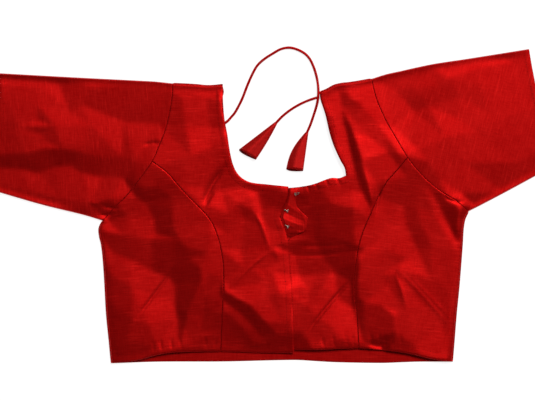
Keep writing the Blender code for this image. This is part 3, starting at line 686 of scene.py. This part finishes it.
def dupion(name, dark, light, slub=1.0, metallic=silk["metallic"]):
    # raw silk: long thin threads across the cloth, rarer thick slubs, fine warp, and cloudiness
    material, tree, shader = newFinish(name)
    link = tree.links.new
    where = nodeOf(tree, "ShaderNodeUVMap", uv_map="cloth")
    total = None
    for layer, (along, across, low, high, weight) in weave.items():
        mapping = nodeOf(tree, "ShaderNodeMapping", Scale=(along, across, 1.0))
        link(where.outputs["UV"], mapping.inputs["Vector"])
        noise = nodeOf(tree, "ShaderNodeTexNoise", Scale=1.0, Detail=2.0, Roughness=0.55)
        link(mapping.outputs["Vector"], noise.inputs["Vector"])
        part = nodeOf(tree, "ShaderNodeMapRange")
        part.inputs["From Min"].default_value = low
        part.inputs["From Max"].default_value = high
        part.inputs["To Max"].default_value = weight * (slub if layer == "slubs" else 1.0)
        link(noise.outputs["Fac"], part.inputs["Value"])
        if total is None:
            total = part.outputs["Result"]
        else:
            added = nodeOf(tree, "ShaderNodeMath", operation="ADD")
            link(total, added.inputs[0])
            link(part.outputs["Result"], added.inputs[1])
            total = added.outputs["Value"]
    ramp = nodeOf(tree, "ShaderNodeValToRGB")
    for stop, position, colour in zip(ramp.color_ramp.elements, silk["rampStops"], (dark, light)):
        stop.position = position
        stop.color = (*colour, 1.0)
    link(total, ramp.inputs["Fac"])
    link(ramp.outputs["Color"], shader.inputs["Base Color"])
    bump = nodeOf(tree, "ShaderNodeBump", Strength=silk["bump"], Distance=silk["bumpHeight"])
    link(total, bump.inputs["Height"])
    link(bump.outputs["Normal"], shader.inputs["Normal"])
    shader.inputs["Roughness"].default_value = silk["roughness"]
    shader.inputs["Metallic"].default_value = metallic
    shader.inputs["Specular IOR Level"].default_value = silk["specular"]
    return material


redSilk = dupion("redDupion", silk["dark"], silk["light"])
cordSilk = dupion("cordDupion", (0.42, 0.0010, 0.0010), (0.56, 0.0030, 0.0030), 0.3, 0.25)


steel = dict(worn=(0.10, 0.07, 0.06), bright=(0.50, 0.44, 0.38), smooth=0.2, rough=0.45,
             grain=1800.0)


def wireSteel():
    material, tree, shader = newFinish("hookWire")
    shader.inputs["Metallic"].default_value = 1.0
    where = nodeOf(tree, "ShaderNodeTexCoord")
    worn = nodeOf(tree, "ShaderNodeTexNoise", Scale=steel["grain"], Detail=3.0)
    tree.links.new(where.outputs["Object"], worn.inputs["Vector"])
    tone = nodeOf(tree, "ShaderNodeValToRGB")
    tone.color_ramp.elements[0].color = (*steel["worn"], 1.0)
    tone.color_ramp.elements[1].color = (*steel["bright"], 1.0)
    tree.links.new(worn.outputs["Fac"], tone.inputs["Fac"])
    tree.links.new(tone.outputs["Color"], shader.inputs["Base Color"])
    rough = nodeOf(tree, "ShaderNodeMapRange")
    rough.inputs["To Min"].default_value = steel["smooth"]
    rough.inputs["To Max"].default_value = steel["rough"]
    tree.links.new(worn.outputs["Fac"], rough.inputs["Value"])
    tree.links.new(rough.outputs["Result"], shader.inputs["Roughness"])
    return material


hookWire = wireSteel()

meshStep = (2.2 if fine else 3.6) * mm
# how each piece's threads are turned, in degrees
grains = dict(front_centre_right=0.0, front_side_right=4.0, front_centre_left=0.0,
              front_side_left=-6.0, underlap_strip=90.0, back_panel=0.0,
              sleeve_right=94.0, sleeve_left=76.0)
# a front grows a little past its outline, and draws in where it is sewn
front = dict(grow=0.5 * mm, drawIn=0.7 * mm, drawReach=1.2 * mm)
back = dict(step=5.0 * mm, level=1.2 * mm, wall=1.1 * mm)


def clothPiece(name, flat, faces, height, wall):
    shell = thickened(np.column_stack([flat, height]), faces, wall)
    piece = newPiece(name + "_cloth", *shell, redSilk, grains[name])
    declareSheet(piece, name)


def frontPanel(name):
    rim = rims[name][:, :2]
    bySeam = np.exp(-((distanceTo(rim, seamEdges[name]) / front["drawReach"]) ** 2))
    outline = inset(rim, (front["drawIn"] * bySeam - front["grow"])[:, None])
    flat, faces = netOver(outline, meshStep)
    height = heightFor(name)(flat) + edgeShape(name, flat)
    clothPiece(name, flat, faces, height, cloth["thickness"])


for name in frontNodes:
    frontPanel(name)


def backPanel():
    flat, faces = netOver(rims["back_panel"][:, :2], back["step"])
    clothPiece("back_panel", flat, faces, np.full(len(flat), back["level"]), back["wall"])


backPanel()


bunch = dict(
    ridge=(28.0, -30.0), bearing=58.0, rise=3.6 * mm, fall=0.06, under=1.1 * mm,
    tuck=0.5 * mm,           # how far under the lap edge the bunch starts
    moundReach=5 * mm, creaseReach=4 * mm,
    foot=44 * mm, footReach=7 * mm,
    step=1.2 * mm, rows=(0.5, 1.1, 1.9),
)
bunchCreases = (
    ((15, 10), (24, -4), (46, -14), 2.2, 3.0, 0.17),
    ((12, -6), (26, -14), (47, -22), 2.0, 3.0, -0.23),
    ((11, -15), (28, -24), (47, -29), 2.0, 2.6, 0.23),
    ((31, 20), (30, 8), (37, -6), 1.6, 2.2, -0.17),
    ((22, 22), (20, 8), (16, -4), 1.6, 2.2, 0.15),
    ((20, -28), (30, -33), (44, -34), 1.6, 2.0, -0.20),
    ((40, -8), (44, -16), (47, -26), 1.2, 1.6, 0.15),
)


def stripHeight(points):
    # the strip has slid out from under the lap and stands in a bunch, highest at its lower edge
    past = lapGap(points) + bunch["tuck"]
    bearing = math.radians(bunch["bearing"])
    up = (points - np.array(bunch["ridge"]) * mm) @ (math.cos(bearing), math.sin(bearing))
    mound = np.clip(bunch["rise"] - bunch["fall"] * np.abs(up), 0.0, None)
    mound *= eased(past / bunch["moundReach"])
    mound *= eased((points[:, 1] + bunch["foot"]) / bunch["footReach"])
    folds = creaseHeight(points, bunchCreases) * eased(past / bunch["creaseReach"])
    return leftHeight(points) + bunch["under"] + mound + np.maximum(folds, -mound)


def eyeStrip():
    flat, faces = netOver(rims["underlap_strip"][:, :2], bunch["step"], rows=bunch["rows"])
    clothPiece("underlap_strip", flat, faces, stripHeight(flat), cloth["thickness"])


eyeStrip()


sleeve = dict(
    floor=0.05 * mm,         # lower layer over the table
    turnUp=0.42,             # of the edge's height that the lower layer rises to at a closed edge
    turnReach=2.2 * mm,
    closedReach=0.6 * mm,    # rim points this near a closed edge belong to it
    hollow=0.1 * mm,         # least room between the layers
)


def sleeveTube(name):
    # two layers joined round the top fold and the underarm seam, open at both ends
    outline = rims[name][:, :2]
    flat, faces = netOver(outline, meshStep)
    near = distanceTo(flat, closedEdges)
    turnUp = cloth["edgeLevel"] * sleeve["turnUp"] * np.exp(-((near / sleeve["turnReach"]) ** 1.5))
    upper = np.column_stack([flat, clothHeight(flat) + edgeShape(name, flat)])
    lower = np.column_stack([flat, sleeve["floor"] + turnUp])
    innerUpper = upper - vertexNormals(upper, faces) * cloth["thickness"]
    innerLower = lower + (0.0, 0.0, cloth["thickness"])
    crowded = innerUpper[:, 2] - innerLower[:, 2] < sleeve["hollow"]
    middle = (innerUpper[crowded, 2] + innerLower[crowded, 2]) / 2
    innerUpper[crowded, 2] = middle + sleeve["hollow"] / 2
    innerLower[crowded, 2] = middle - sleeve["hollow"] / 2
    points = np.vstack([upper, lower, innerUpper, innerLower])
    count = len(flat)
    solid = []
    for layer, way in enumerate((1, -1, -1, 1)):
        solid += [tuple(layer * count + k for k in face[::way]) for face in faces]
    low = near < sleeve["closedReach"]
    rimSides = rimOf(faces)
    for a, b in rimSides:
        if low[a] and low[b]:
            solid.append((b, a, count + a, count + b))
            solid.append((2 * count + a, 2 * count + b, 3 * count + b, 3 * count + a))
        else:
            solid.append((b, a, 2 * count + a, 2 * count + b))
            solid.append((3 * count + b, 3 * count + a, count + a, count + b))
    # where a closed edge meets an open one, the four layers' corners are joined
    arrives = {b: low[a] and low[b] for a, b in rimSides}
    leaves = {a: low[a] and low[b] for a, b in rimSides}
    for k in leaves:
        if arrives[k] != leaves[k]:
            corner = (k, count + k, 3 * count + k, 2 * count + k)
            solid.append(corner if leaves[k] else corner[::-1])
    piece = newPiece(name + "_cloth", points, solid, redSilk, grains[name])
    declareSheet(piece, name)


for name in sleeveNodes:
    sleeveTube(name)

cordSize = dict(
    diameter=3.6 * mm, lift=0.2 * mm, sides=14, step=1.0 * mm,
    waver=0.05,              # how much the thickness wanders, as a share
    waverReach=9,            # rings that the wandering is smoothed over
    seed=11,
    twist=55.0 * mm,         # length over which the seam turns one radian
    ridge=0.07, ridgeWidth=0.35,
    bias=0.707,              # the cloth of a cord is cut on the bias
    declaredPoints=30,
)
# routes of the frame's own cords, in mm: x, y, lift over the table
doriRoutes = dict(
    dori_right=(
        (-71.9, 110.82, 1.4), (-67.1, 113.92, 1.4), (-61.5, 118.12, 1.2), (-56.6, 123.62, 0),
        (-52.0, 129.12, 0), (-45.7, 140.22, 0), (-40.6, 151.22, 0), (-34.2, 167.82, 0),
        (-26.8, 184.32, 0), (-20.1, 195.42, 0), (-10.7, 203.92, 0), (0.3, 211.02, 0),
        (11.4, 217.22, 0), (22.4, 219.42, 0), (32.7, 217.52, 0), (44.5, 211.52, 0),
        (51.9, 203.72, 0), (57.3, 192.62, 0), (60.8, 181.62, 0), (62.8, 171.72, 0.8),
        (63.7, 162.22, 3.2), (63.5, 152.22, 4.4), (62.4, 143.22, 3.0), (60.2, 134.72, 0.6),
        (56.6, 123.62, 0), (52.8, 112.62, 0), (47.7, 100.82, 0),
    ),
    dori_left=(
        (65.3, 150.82, 0), (58.3, 149.12, 0), (47.3, 145.22, 0), (36.2, 139.92, 0),
        (25.2, 133.22, 0), (14.1, 124.42, 0), (4.0, 113.92, 0),
    ),
)


def roundTurns(sides):
    return np.linspace(0, 2 * math.pi, sides, endpoint=False)


def tubeFaces(rings, sides):
    # quads from ring to ring, and a fan to the middle point of each end
    faces = []
    for k in range(rings - 1):
        for i in range(sides):
            j = (i + 1) % sides
            faces.append((k * sides + i, (k + 1) * sides + i, (k + 1) * sides + j, k * sides + j))
    last = (rings - 1) * sides
    for i in range(sides):
        j = (i + 1) % sides
        faces.append((rings * sides, i, j))
        faces.append((rings * sides + 1, last + j, last + i))
    return faces


def tubeAround(path, radius, sides, upright):
    # radius is one size, or one for each point of each ring
    ahead = np.gradient(path, axis=0)
    ahead /= np.linalg.norm(ahead, axis=1)[:, None]
    side = np.cross(ahead, upright)
    side /= np.linalg.norm(side, axis=1)[:, None]
    up = np.cross(side, ahead)
    turns = roundTurns(sides)[:, None]
    radius = np.broadcast_to(radius, (len(path), sides))[..., None]
    rings = path[:, None] + radius * (np.cos(turns) * side[:, None] + np.sin(turns) * up[:, None])
    return np.vstack([rings.reshape(-1, 3), path[:1], path[-1:]]), tubeFaces(len(path), sides)


def rouleau(name):
    rows = np.array(doriRoutes[name], float) * mm
    rows[:, 2] += cordSize["diameter"] / 2 + cordSize["lift"]
    path = evenly(smoothPath(rows), cordSize["step"])
    along = lengthsAlong(path)
    turns = roundTurns(cordSize["sides"])
    reach = cordSize["waverReach"]
    noise = np.random.default_rng(cordSize["seed"]).normal(size=len(path) + reach - 1)
    waver = np.convolve(noise, np.ones(reach) / reach, "valid")
    radius = cordSize["diameter"] / 2 * (1.0 + cordSize["waver"] * waver / np.abs(waver).max())
    # the seam shows as a small ridge that winds slowly round the cord
    away = (turns - along[:, None] / cordSize["twist"] + math.pi) % (2 * math.pi) - math.pi
    ridge = cordSize["ridge"] * np.exp(-((away / cordSize["ridgeWidth"]) ** 2))
    points, faces = tubeAround(path, radius[:, None] * (1.0 + ridge), len(turns), (0.0, 0.0, 1.0))
    uv = np.stack([np.repeat(along, len(turns)),
                   np.tile(turns * cordSize["diameter"] / 2, len(path))], 1)
    uv = np.vstack([uv, uv[:1], uv[-1:]]) @ (cordSize["bias"] * np.array([[1, 1], [-1, 1]]))
    piece = newPiece(name + "_cord", points, faces, cordSilk, uv=uv)
    standsFor(piece, name)


# tips and corners are x, y in mm, and bows say how far each side bulges, in mm
tassels = dict(
    height=9.0 * mm, wall=0.7 * mm, sides=40, rings=18, lip=3.2 * mm,
    slack=0.35 * mm,         # between the cord and the cloth folded round it
    overlap=2.5 * mm,        # how far the cloth reaches back over the cord
    room=0.9 * mm,           # over the cord at the tip, and under the cloth at the mouth
    ridgeAt=0.1, nearFall=0.55, farFall=0.30, fallPower=1.6,
    pleat=0.25 * mm, pleats=5, undercut=0.85, tuck=0.5 * mm,
    tassel_left=dict(tip=(3.5, 113.4), corners=((-45.9, 78.6), (-22.5, 64.4)), bows=(0.0, 1.0)),
    tassel_right=dict(tip=(47.3, 99.8), corners=((19.3, 52.0), (42.9, 48.8)), bows=(5.0, 0.0)),
)


def tassel(name):
    # folded cloth round the cord's end: an arched upper layer, a flat lower one, an open mouth
    shape, cord = tassels[name], cordSize["diameter"]
    tip, first, second = (np.array(place) * mm for place in (shape["tip"], *shape["corners"]))
    across = (first - second) / np.linalg.norm(first - second)
    neck = (cord / 2 + tassels["slack"]) * across
    away = (first + second) / 2 - tip
    away /= np.linalg.norm(away)
    tip = tip - away * tassels["overlap"]
    turns = roundTurns(tassels["sides"])
    side, upper = np.cos(turns), np.sin(turns) > -1e-9
    roundish = np.abs(np.sin(turns))
    # the fold runs nearer the first side, and the upper layer falls gently from it to the second
    ridge = tassels["ridgeAt"]
    near = tassels["nearFall"] * (np.maximum(side - ridge, 0.0) / (1 - ridge)) ** tassels["fallPower"]
    far = tassels["farFall"] * (np.maximum(ridge - side, 0.0) / (1 + ridge)) ** tassels["fallPower"]
    outer, inner = [], []
    for share in np.linspace(0.0, 1.0, tassels["rings"]):
        bulge = across * mm * math.sin(math.pi * share)
        a = tip + neck + (first - tip - neck) * share + bulge * shape["bows"][0]
        b = tip - neck + (second - tip + neck) * share - bulge * shape["bows"][1]
        tipHeight = cord + tassels["room"]
        tall = tipHeight + (tassels["height"] - tipHeight) * share**0.8
        arch = (1 - near - far) * share**0.5 + roundish * (1 - share**0.5)
        pleat = tassels["pleat"] * share * np.sin(tassels["pleats"] * turns + 1.0) * roundish
        rise = tall * (0.35 + 0.65 * arch) * np.minimum(1.0, roundish * 4) + pleat
        base = cordSize["lift"] + cord / 2 * (1 - share) + tassels["room"] * share
        level = np.where(upper, base + rise * (tall - base) / tall,
                         base * (1 - tassels["undercut"] * roundish * share))
        lip = tassels["lip"] * roundish * (0.75 + 0.35 * side)
        out = np.where(upper, -tassels["tuck"], lip) * share**6
        middle = (a + b) / 2
        flat = middle + side[:, None] * (a - b) / 2 + out[:, None] * away
        shrink = 1.0 - tassels["wall"] / np.linalg.norm(a - b) * 2
        lowered = level.mean() + (level - level.mean()) * (1 - 2 * tassels["wall"] / tall)
        outer.append(np.column_stack([flat, level]))
        inner.append(np.column_stack([middle + (flat - middle) * shrink, lowered]))
    rings = outer + inner[:0:-1]
    points = np.vstack(rings + [outer[0].mean(axis=0)[None], inner[1].mean(axis=0)[None]])
    faces = [face[:1] + face[:0:-1] for face in tubeFaces(len(rings), len(turns))]
    piece = newPiece(name + "_cloth", points, faces, tasselSilk, uv=points[:, :2])
    standsFor(piece, name)
    print(f"{name}: {len(piece.data.polygons)} faces")


tasselSilk = dupion("tasselDupion", (0.38, 0.0040, 0.0035), (0.56, 0.0120, 0.0100), 0.4, 0.5)
for name, end in (("dori_right", "tassel_right"), ("dori_left", "tassel_left")):
    tassel(end)
    rouleau(name)

# each row: middle (x, y) in mm and turn in degrees
fastenings = dict(
    wire=0.36 * mm, sides=8, lift=0.1 * mm,
    eye_top=(34.0, 17.0, 20.0), hook_upper=(19.0, -6.0, 160.0), hook_lower=(20.0, -27.5, 150.0),
)


def wireShape(kind):
    # two sewing rings and a loop; on a hook the loop is long and bent back over itself
    turns = np.linspace(0.0, 1.5 * math.pi, 14)
    ring = np.stack([-2.2 + 0.9 * np.cos(turns), 1.0 + 0.9 * np.sin(turns), 0 * turns], 1)
    t = np.linspace(-0.5 * math.pi, 0.5 * math.pi, 14)
    if kind == "eye":
        loop = np.stack([0.6 + 2.4 * np.cos(t), 1.3 * np.sin(t), 0.5 * np.cos(t)], 1)
    else:
        loop = np.stack([1.6 + 0.9 * np.cos(t), 0.45 * np.sin(t), 0.2 + 0 * t], 1)
    points = np.vstack([ring * (1, -1, 1), loop, ring[::-1]])
    if kind == "eye":
        return [points]
    back = ((2.4, 0.0, 0.3), (2.6, 0.0, 0.9), (2.2, 0.0, 1.3), (0.8, 0.0, 1.4), (-0.3, 0.0, 1.2))
    return [points, np.array(back)]


def fastening(name):
    x, y, turn = fastenings[name]
    turn = math.radians(turn)
    points, faces = np.zeros((0, 3)), []
    for path in wireShape(name.split("_")[0]):
        tube, sides = tubeAround(smoothPath(path * mm, 3), fastenings["wire"], fastenings["sides"],
                                 (0.0, 0.13, 1.0))
        faces += [tuple(k + len(points) for k in face) for face in sides]
        points = np.vstack([points, tube])
    spin = np.array([[math.cos(turn), math.sin(turn)], [-math.sin(turn), math.cos(turn)]])
    flat = points[:, :2] @ spin + np.array([x, y]) * mm
    under = stripHeight(flat).max() + fastenings["wire"] + fastenings["lift"]
    points = np.column_stack([flat, points[:, 2] + under])
    piece = newPiece(name + "_wire", points, faces, hookWire, uv=points[:, :2])
    standsFor(piece, name)
    print(f"{name}: {len(faces)} faces")


for name in ("eye_top", "hook_upper", "hook_lower"):
    fastening(name)

stitches = dict(
    length=2.3 * mm, pitch=3.4 * mm, thick=0.42 * mm, lift=0.12 * mm, sides=6,
    jitter=0.25, seed=7,
    fewest=12,               # points in the shortest run that is sewn
    longestStep=6 * mm,      # a longer step along the edge starts a new run
    slack=0.4 * mm,          # how far a run may stray from its distance to the edge
    # how far inside each turned edge the run lies, in mm
    insets=dict(front_centre_right=8.0, front_centre_left=8.0, front_side_right=9.0,
                front_side_left=9.0, sleeve_right=7.0, sleeve_left=7.0),
)
stitchThread = dupion("stitchThread", (0.22, 0.0008, 0.0008), (0.40, 0.004, 0.004), 0.2, 0.3)


def stitchShape():
    # one stitch: a short rounded grain, in rings of place along it and share of its thickness
    rings = ((-0.5, 0.25), (-0.36, 0.9), (0.0, 1.0), (0.36, 0.9), (0.5, 0.25))
    n, thick = stitches["sides"], stitches["thick"]
    points = [(x * stitches["length"], math.cos(t) * r * thick / 2, math.sin(t) * r * thick / 2)
              for x, r in rings for t in roundTurns(n)]
    faces = [(k * n + i, k * n + (i + 1) % n, (k + 1) * n + (i + 1) % n, (k + 1) * n + i)
             for k in range(len(rings) - 1) for i in range(n)]
    faces += [tuple(range(n - 1, -1, -1)), tuple(range(len(points) - n, len(points)))]
    mesh = bpy.data.meshes.new("oneStitch")
    mesh.from_pydata(points, [], [face[::-1] for face in faces])
    return bpy.data.objects.new("oneStitch", mesh)


def stitchTree(grain):
    # instances of one stitch at even steps along each line, each a little askew
    tree = bpy.data.node_groups.new("stitchRun", "GeometryNodeTree")
    tree.is_modifier = True
    for name, way, kind in (("Geometry", "INPUT", "Geometry"), ("Pitch", "INPUT", "Float"),
                            ("Turn", "INPUT", "Float"), ("Seed", "INPUT", "Int"),
                            ("Geometry", "OUTPUT", "Geometry")):
        tree.interface.new_socket(name, in_out=way, socket_type="NodeSocket" + kind)
    given = nodeOf(tree, "NodeGroupInput")
    result = nodeOf(tree, "NodeGroupOutput")
    curve = nodeOf(tree, "GeometryNodeMeshToCurve")
    spaced = nodeOf(tree, "GeometryNodeResampleCurve", mode="LENGTH")
    laid = nodeOf(tree, "GeometryNodeInstanceOnPoints")
    shape = nodeOf(tree, "GeometryNodeObjectInfo", Object=grain)
    way = nodeOf(tree, "GeometryNodeInputTangent")
    aim = nodeOf(tree, "FunctionNodeAlignRotationToVector", axis="X")
    sway = nodeOf(tree, "FunctionNodeRandomValue", data_type="FLOAT_VECTOR")
    spin = nodeOf(tree, "FunctionNodeRotateRotation", rotation_space="LOCAL")
    turn = nodeOf(tree, "ShaderNodeCombineXYZ")
    back = nodeOf(tree, "ShaderNodeVectorMath", operation="SCALE")
    back.inputs["Scale"].default_value = -1.0
    whole = nodeOf(tree, "GeometryNodeRealizeInstances")
    finish = nodeOf(tree, "GeometryNodeSetMaterial", Material=stitchThread)
    for start, output, end, socket in (
            (given, "Geometry", curve, "Mesh"), (curve, "Curve", spaced, "Curve"),
            (given, "Pitch", spaced, "Length"), (spaced, "Curve", laid, "Points"),
            (shape, "Geometry", laid, "Instance"), (way, "Tangent", aim, "Vector"),
            (given, "Turn", turn, "Z"), (turn, "Vector", back, "Vector"),
            (back, "Vector", sway, "Min"), (turn, "Vector", sway, "Max"),
            (given, "Seed", sway, "Seed"), (aim, "Rotation", spin, "Rotation"),
            (sway, "Value", spin, "Rotate By"), (spin, "Rotation", laid, "Rotation"),
            (laid, "Instances", whole, "Geometry"), (whole, "Geometry", finish, "Geometry"),
            (finish, "Geometry", result, "Geometry")):
        tree.links.new(start.outputs[output], end.inputs[socket])
    return tree


def stitchRuns():
    # lines a little inside every turned edge: neck, hem, cuffs and the lap
    runs = []
    for name, gap in stitches["insets"].items():
        outline = rims[name][:, :2]
        line = inset(outline, gap * mm)
        loop = [np.vstack([outline, outline[:1]])]
        good = np.abs(distanceTo(line, openEdges[name]) - gap * mm) < stitches["slack"]
        good &= distanceTo(line, loop) > 0.9 * gap * mm
        steps = np.linalg.norm(line - np.roll(line, 1, axis=0), axis=1)
        found, run = [], []
        for point, held, step in zip(line, good, steps):
            if held and (not run or step < stitches["longestStep"]):
                run.append(point)
                continue
            found.append(run)
            run = [point] if held else []
        for run in found + [run]:
            if len(run) > stitches["fewest"]:
                run = np.array(run)
                level = heightFor(name)(run) + edgeShape(name, run) + stitches["lift"]
                runs.append(np.column_stack([run, level]))
    return runs


def sewStitches():
    runs = stitchRuns()
    edges, start = [], 0
    for run in runs:
        edges += [(start + k, start + k + 1) for k in range(len(run) - 1)]
        start += len(run)
    mesh = bpy.data.meshes.new("stitchLines")
    mesh.from_pydata(np.vstack(runs).tolist(), edges, [])
    lines = placed("stitchLines", mesh)
    tree = stitchTree(stitchShape())
    modifier = lines.modifiers.new("stitchRun", "NODES")
    modifier.node_group = tree
    values = dict(Pitch=stitches["pitch"], Turn=stitches["jitter"], Seed=stitches["seed"])
    for item in tree.interface.items_tree:
        if item.item_type == "SOCKET" and item.in_out == "INPUT" and item.name in values:
            modifier[item.identifier] = values[item.name]
    made = bpy.data.meshes.new_from_object(lines.evaluated_get(bpy.context.evaluated_depsgraph_get()))
    bpy.data.objects.remove(lines)
    made.name = "edgeStitches"
    spots = np.empty(3 * len(made.vertices), np.float32)
    made.vertices.foreach_get("co", spots)
    layThreads(made, spots.reshape(-1, 3)[:, :2])
    piece = placed("edgeStitches", made)
    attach(piece, "root")
    print(f"stitches: {len(runs)} runs, {len(made.polygons)} faces")


sewStitches()

studio = dict(
    floor=(0.30, 0.30, 0.30), floorReach=3.0, floorRoughness=0.9, glow=0.86,
    sky=0.05, horizon=1.1, horizonTop=0.6,
    sun=2.05, sunFrom=(58.0, 58.0), sunAngle=24.0, sunAway=2.0,
)


def studioFloor():
    mesh = bpy.data.meshes.new("paleFloor")
    reach = studio["floorReach"]
    mesh.from_pydata([(-reach, -reach, 0), (reach, -reach, 0), (reach, reach, 0), (-reach, reach, 0)],
                     [], [(0, 1, 2, 3)])
    material, _, shader = newFinish("palePaper")
    shader.inputs["Base Color"].default_value = (*studio["floor"], 1.0)
    shader.inputs["Roughness"].default_value = studio["floorRoughness"]
    shader.inputs["Specular IOR Level"].default_value = 0.0
    shader.inputs["Emission Color"].default_value = (1.0, 1.0, 1.0, 1.0)
    shader.inputs["Emission Strength"].default_value = studio["glow"]
    mesh.materials.append(material)
    placed("paleFloor", mesh)


def lighting():
    world = bpy.data.worlds.new("paleRoom")
    world.use_nodes = True
    tree = world.node_tree
    background = tree.nodes["Background"]
    background.inputs["Color"].default_value = (1, 1, 1, 1)
    # brighter low down all round, like a room's walls, so that the silk shines from every side
    direction = nodeOf(tree, "ShaderNodeTexCoord")
    split = nodeOf(tree, "ShaderNodeSeparateXYZ")
    fade = nodeOf(tree, "ShaderNodeMapRange", interpolation_type="SMOOTHSTEP")
    fade.inputs["From Min"].default_value = 0.0
    fade.inputs["From Max"].default_value = studio["horizonTop"]
    fade.inputs["To Min"].default_value = studio["horizon"]
    fade.inputs["To Max"].default_value = studio["sky"]
    tree.links.new(direction.outputs["Generated"], split.inputs["Vector"])
    tree.links.new(split.outputs["Z"], fade.inputs["Value"])
    tree.links.new(fade.outputs["Result"], background.inputs["Strength"])
    bpy.context.scene.world = world
    data = bpy.data.lights.new("keyLight", "SUN")
    data.energy = studio["sun"]
    data.angle = math.radians(studio["sunAngle"])
    light = placed("keyLight", data)
    bearing, height = map(math.radians, studio["sunFrom"])
    way = Vector((math.cos(height) * math.cos(bearing), math.cos(height) * math.sin(bearing),
                  math.sin(height)))
    light.location = way * studio["sunAway"]
    light.rotation_euler = (-way).to_track_quat("-Z", "Y").to_euler()
    bpy.context.scene.view_settings.view_transform = "Standard"


studioFloor()
lighting()

low, high = cadBounds
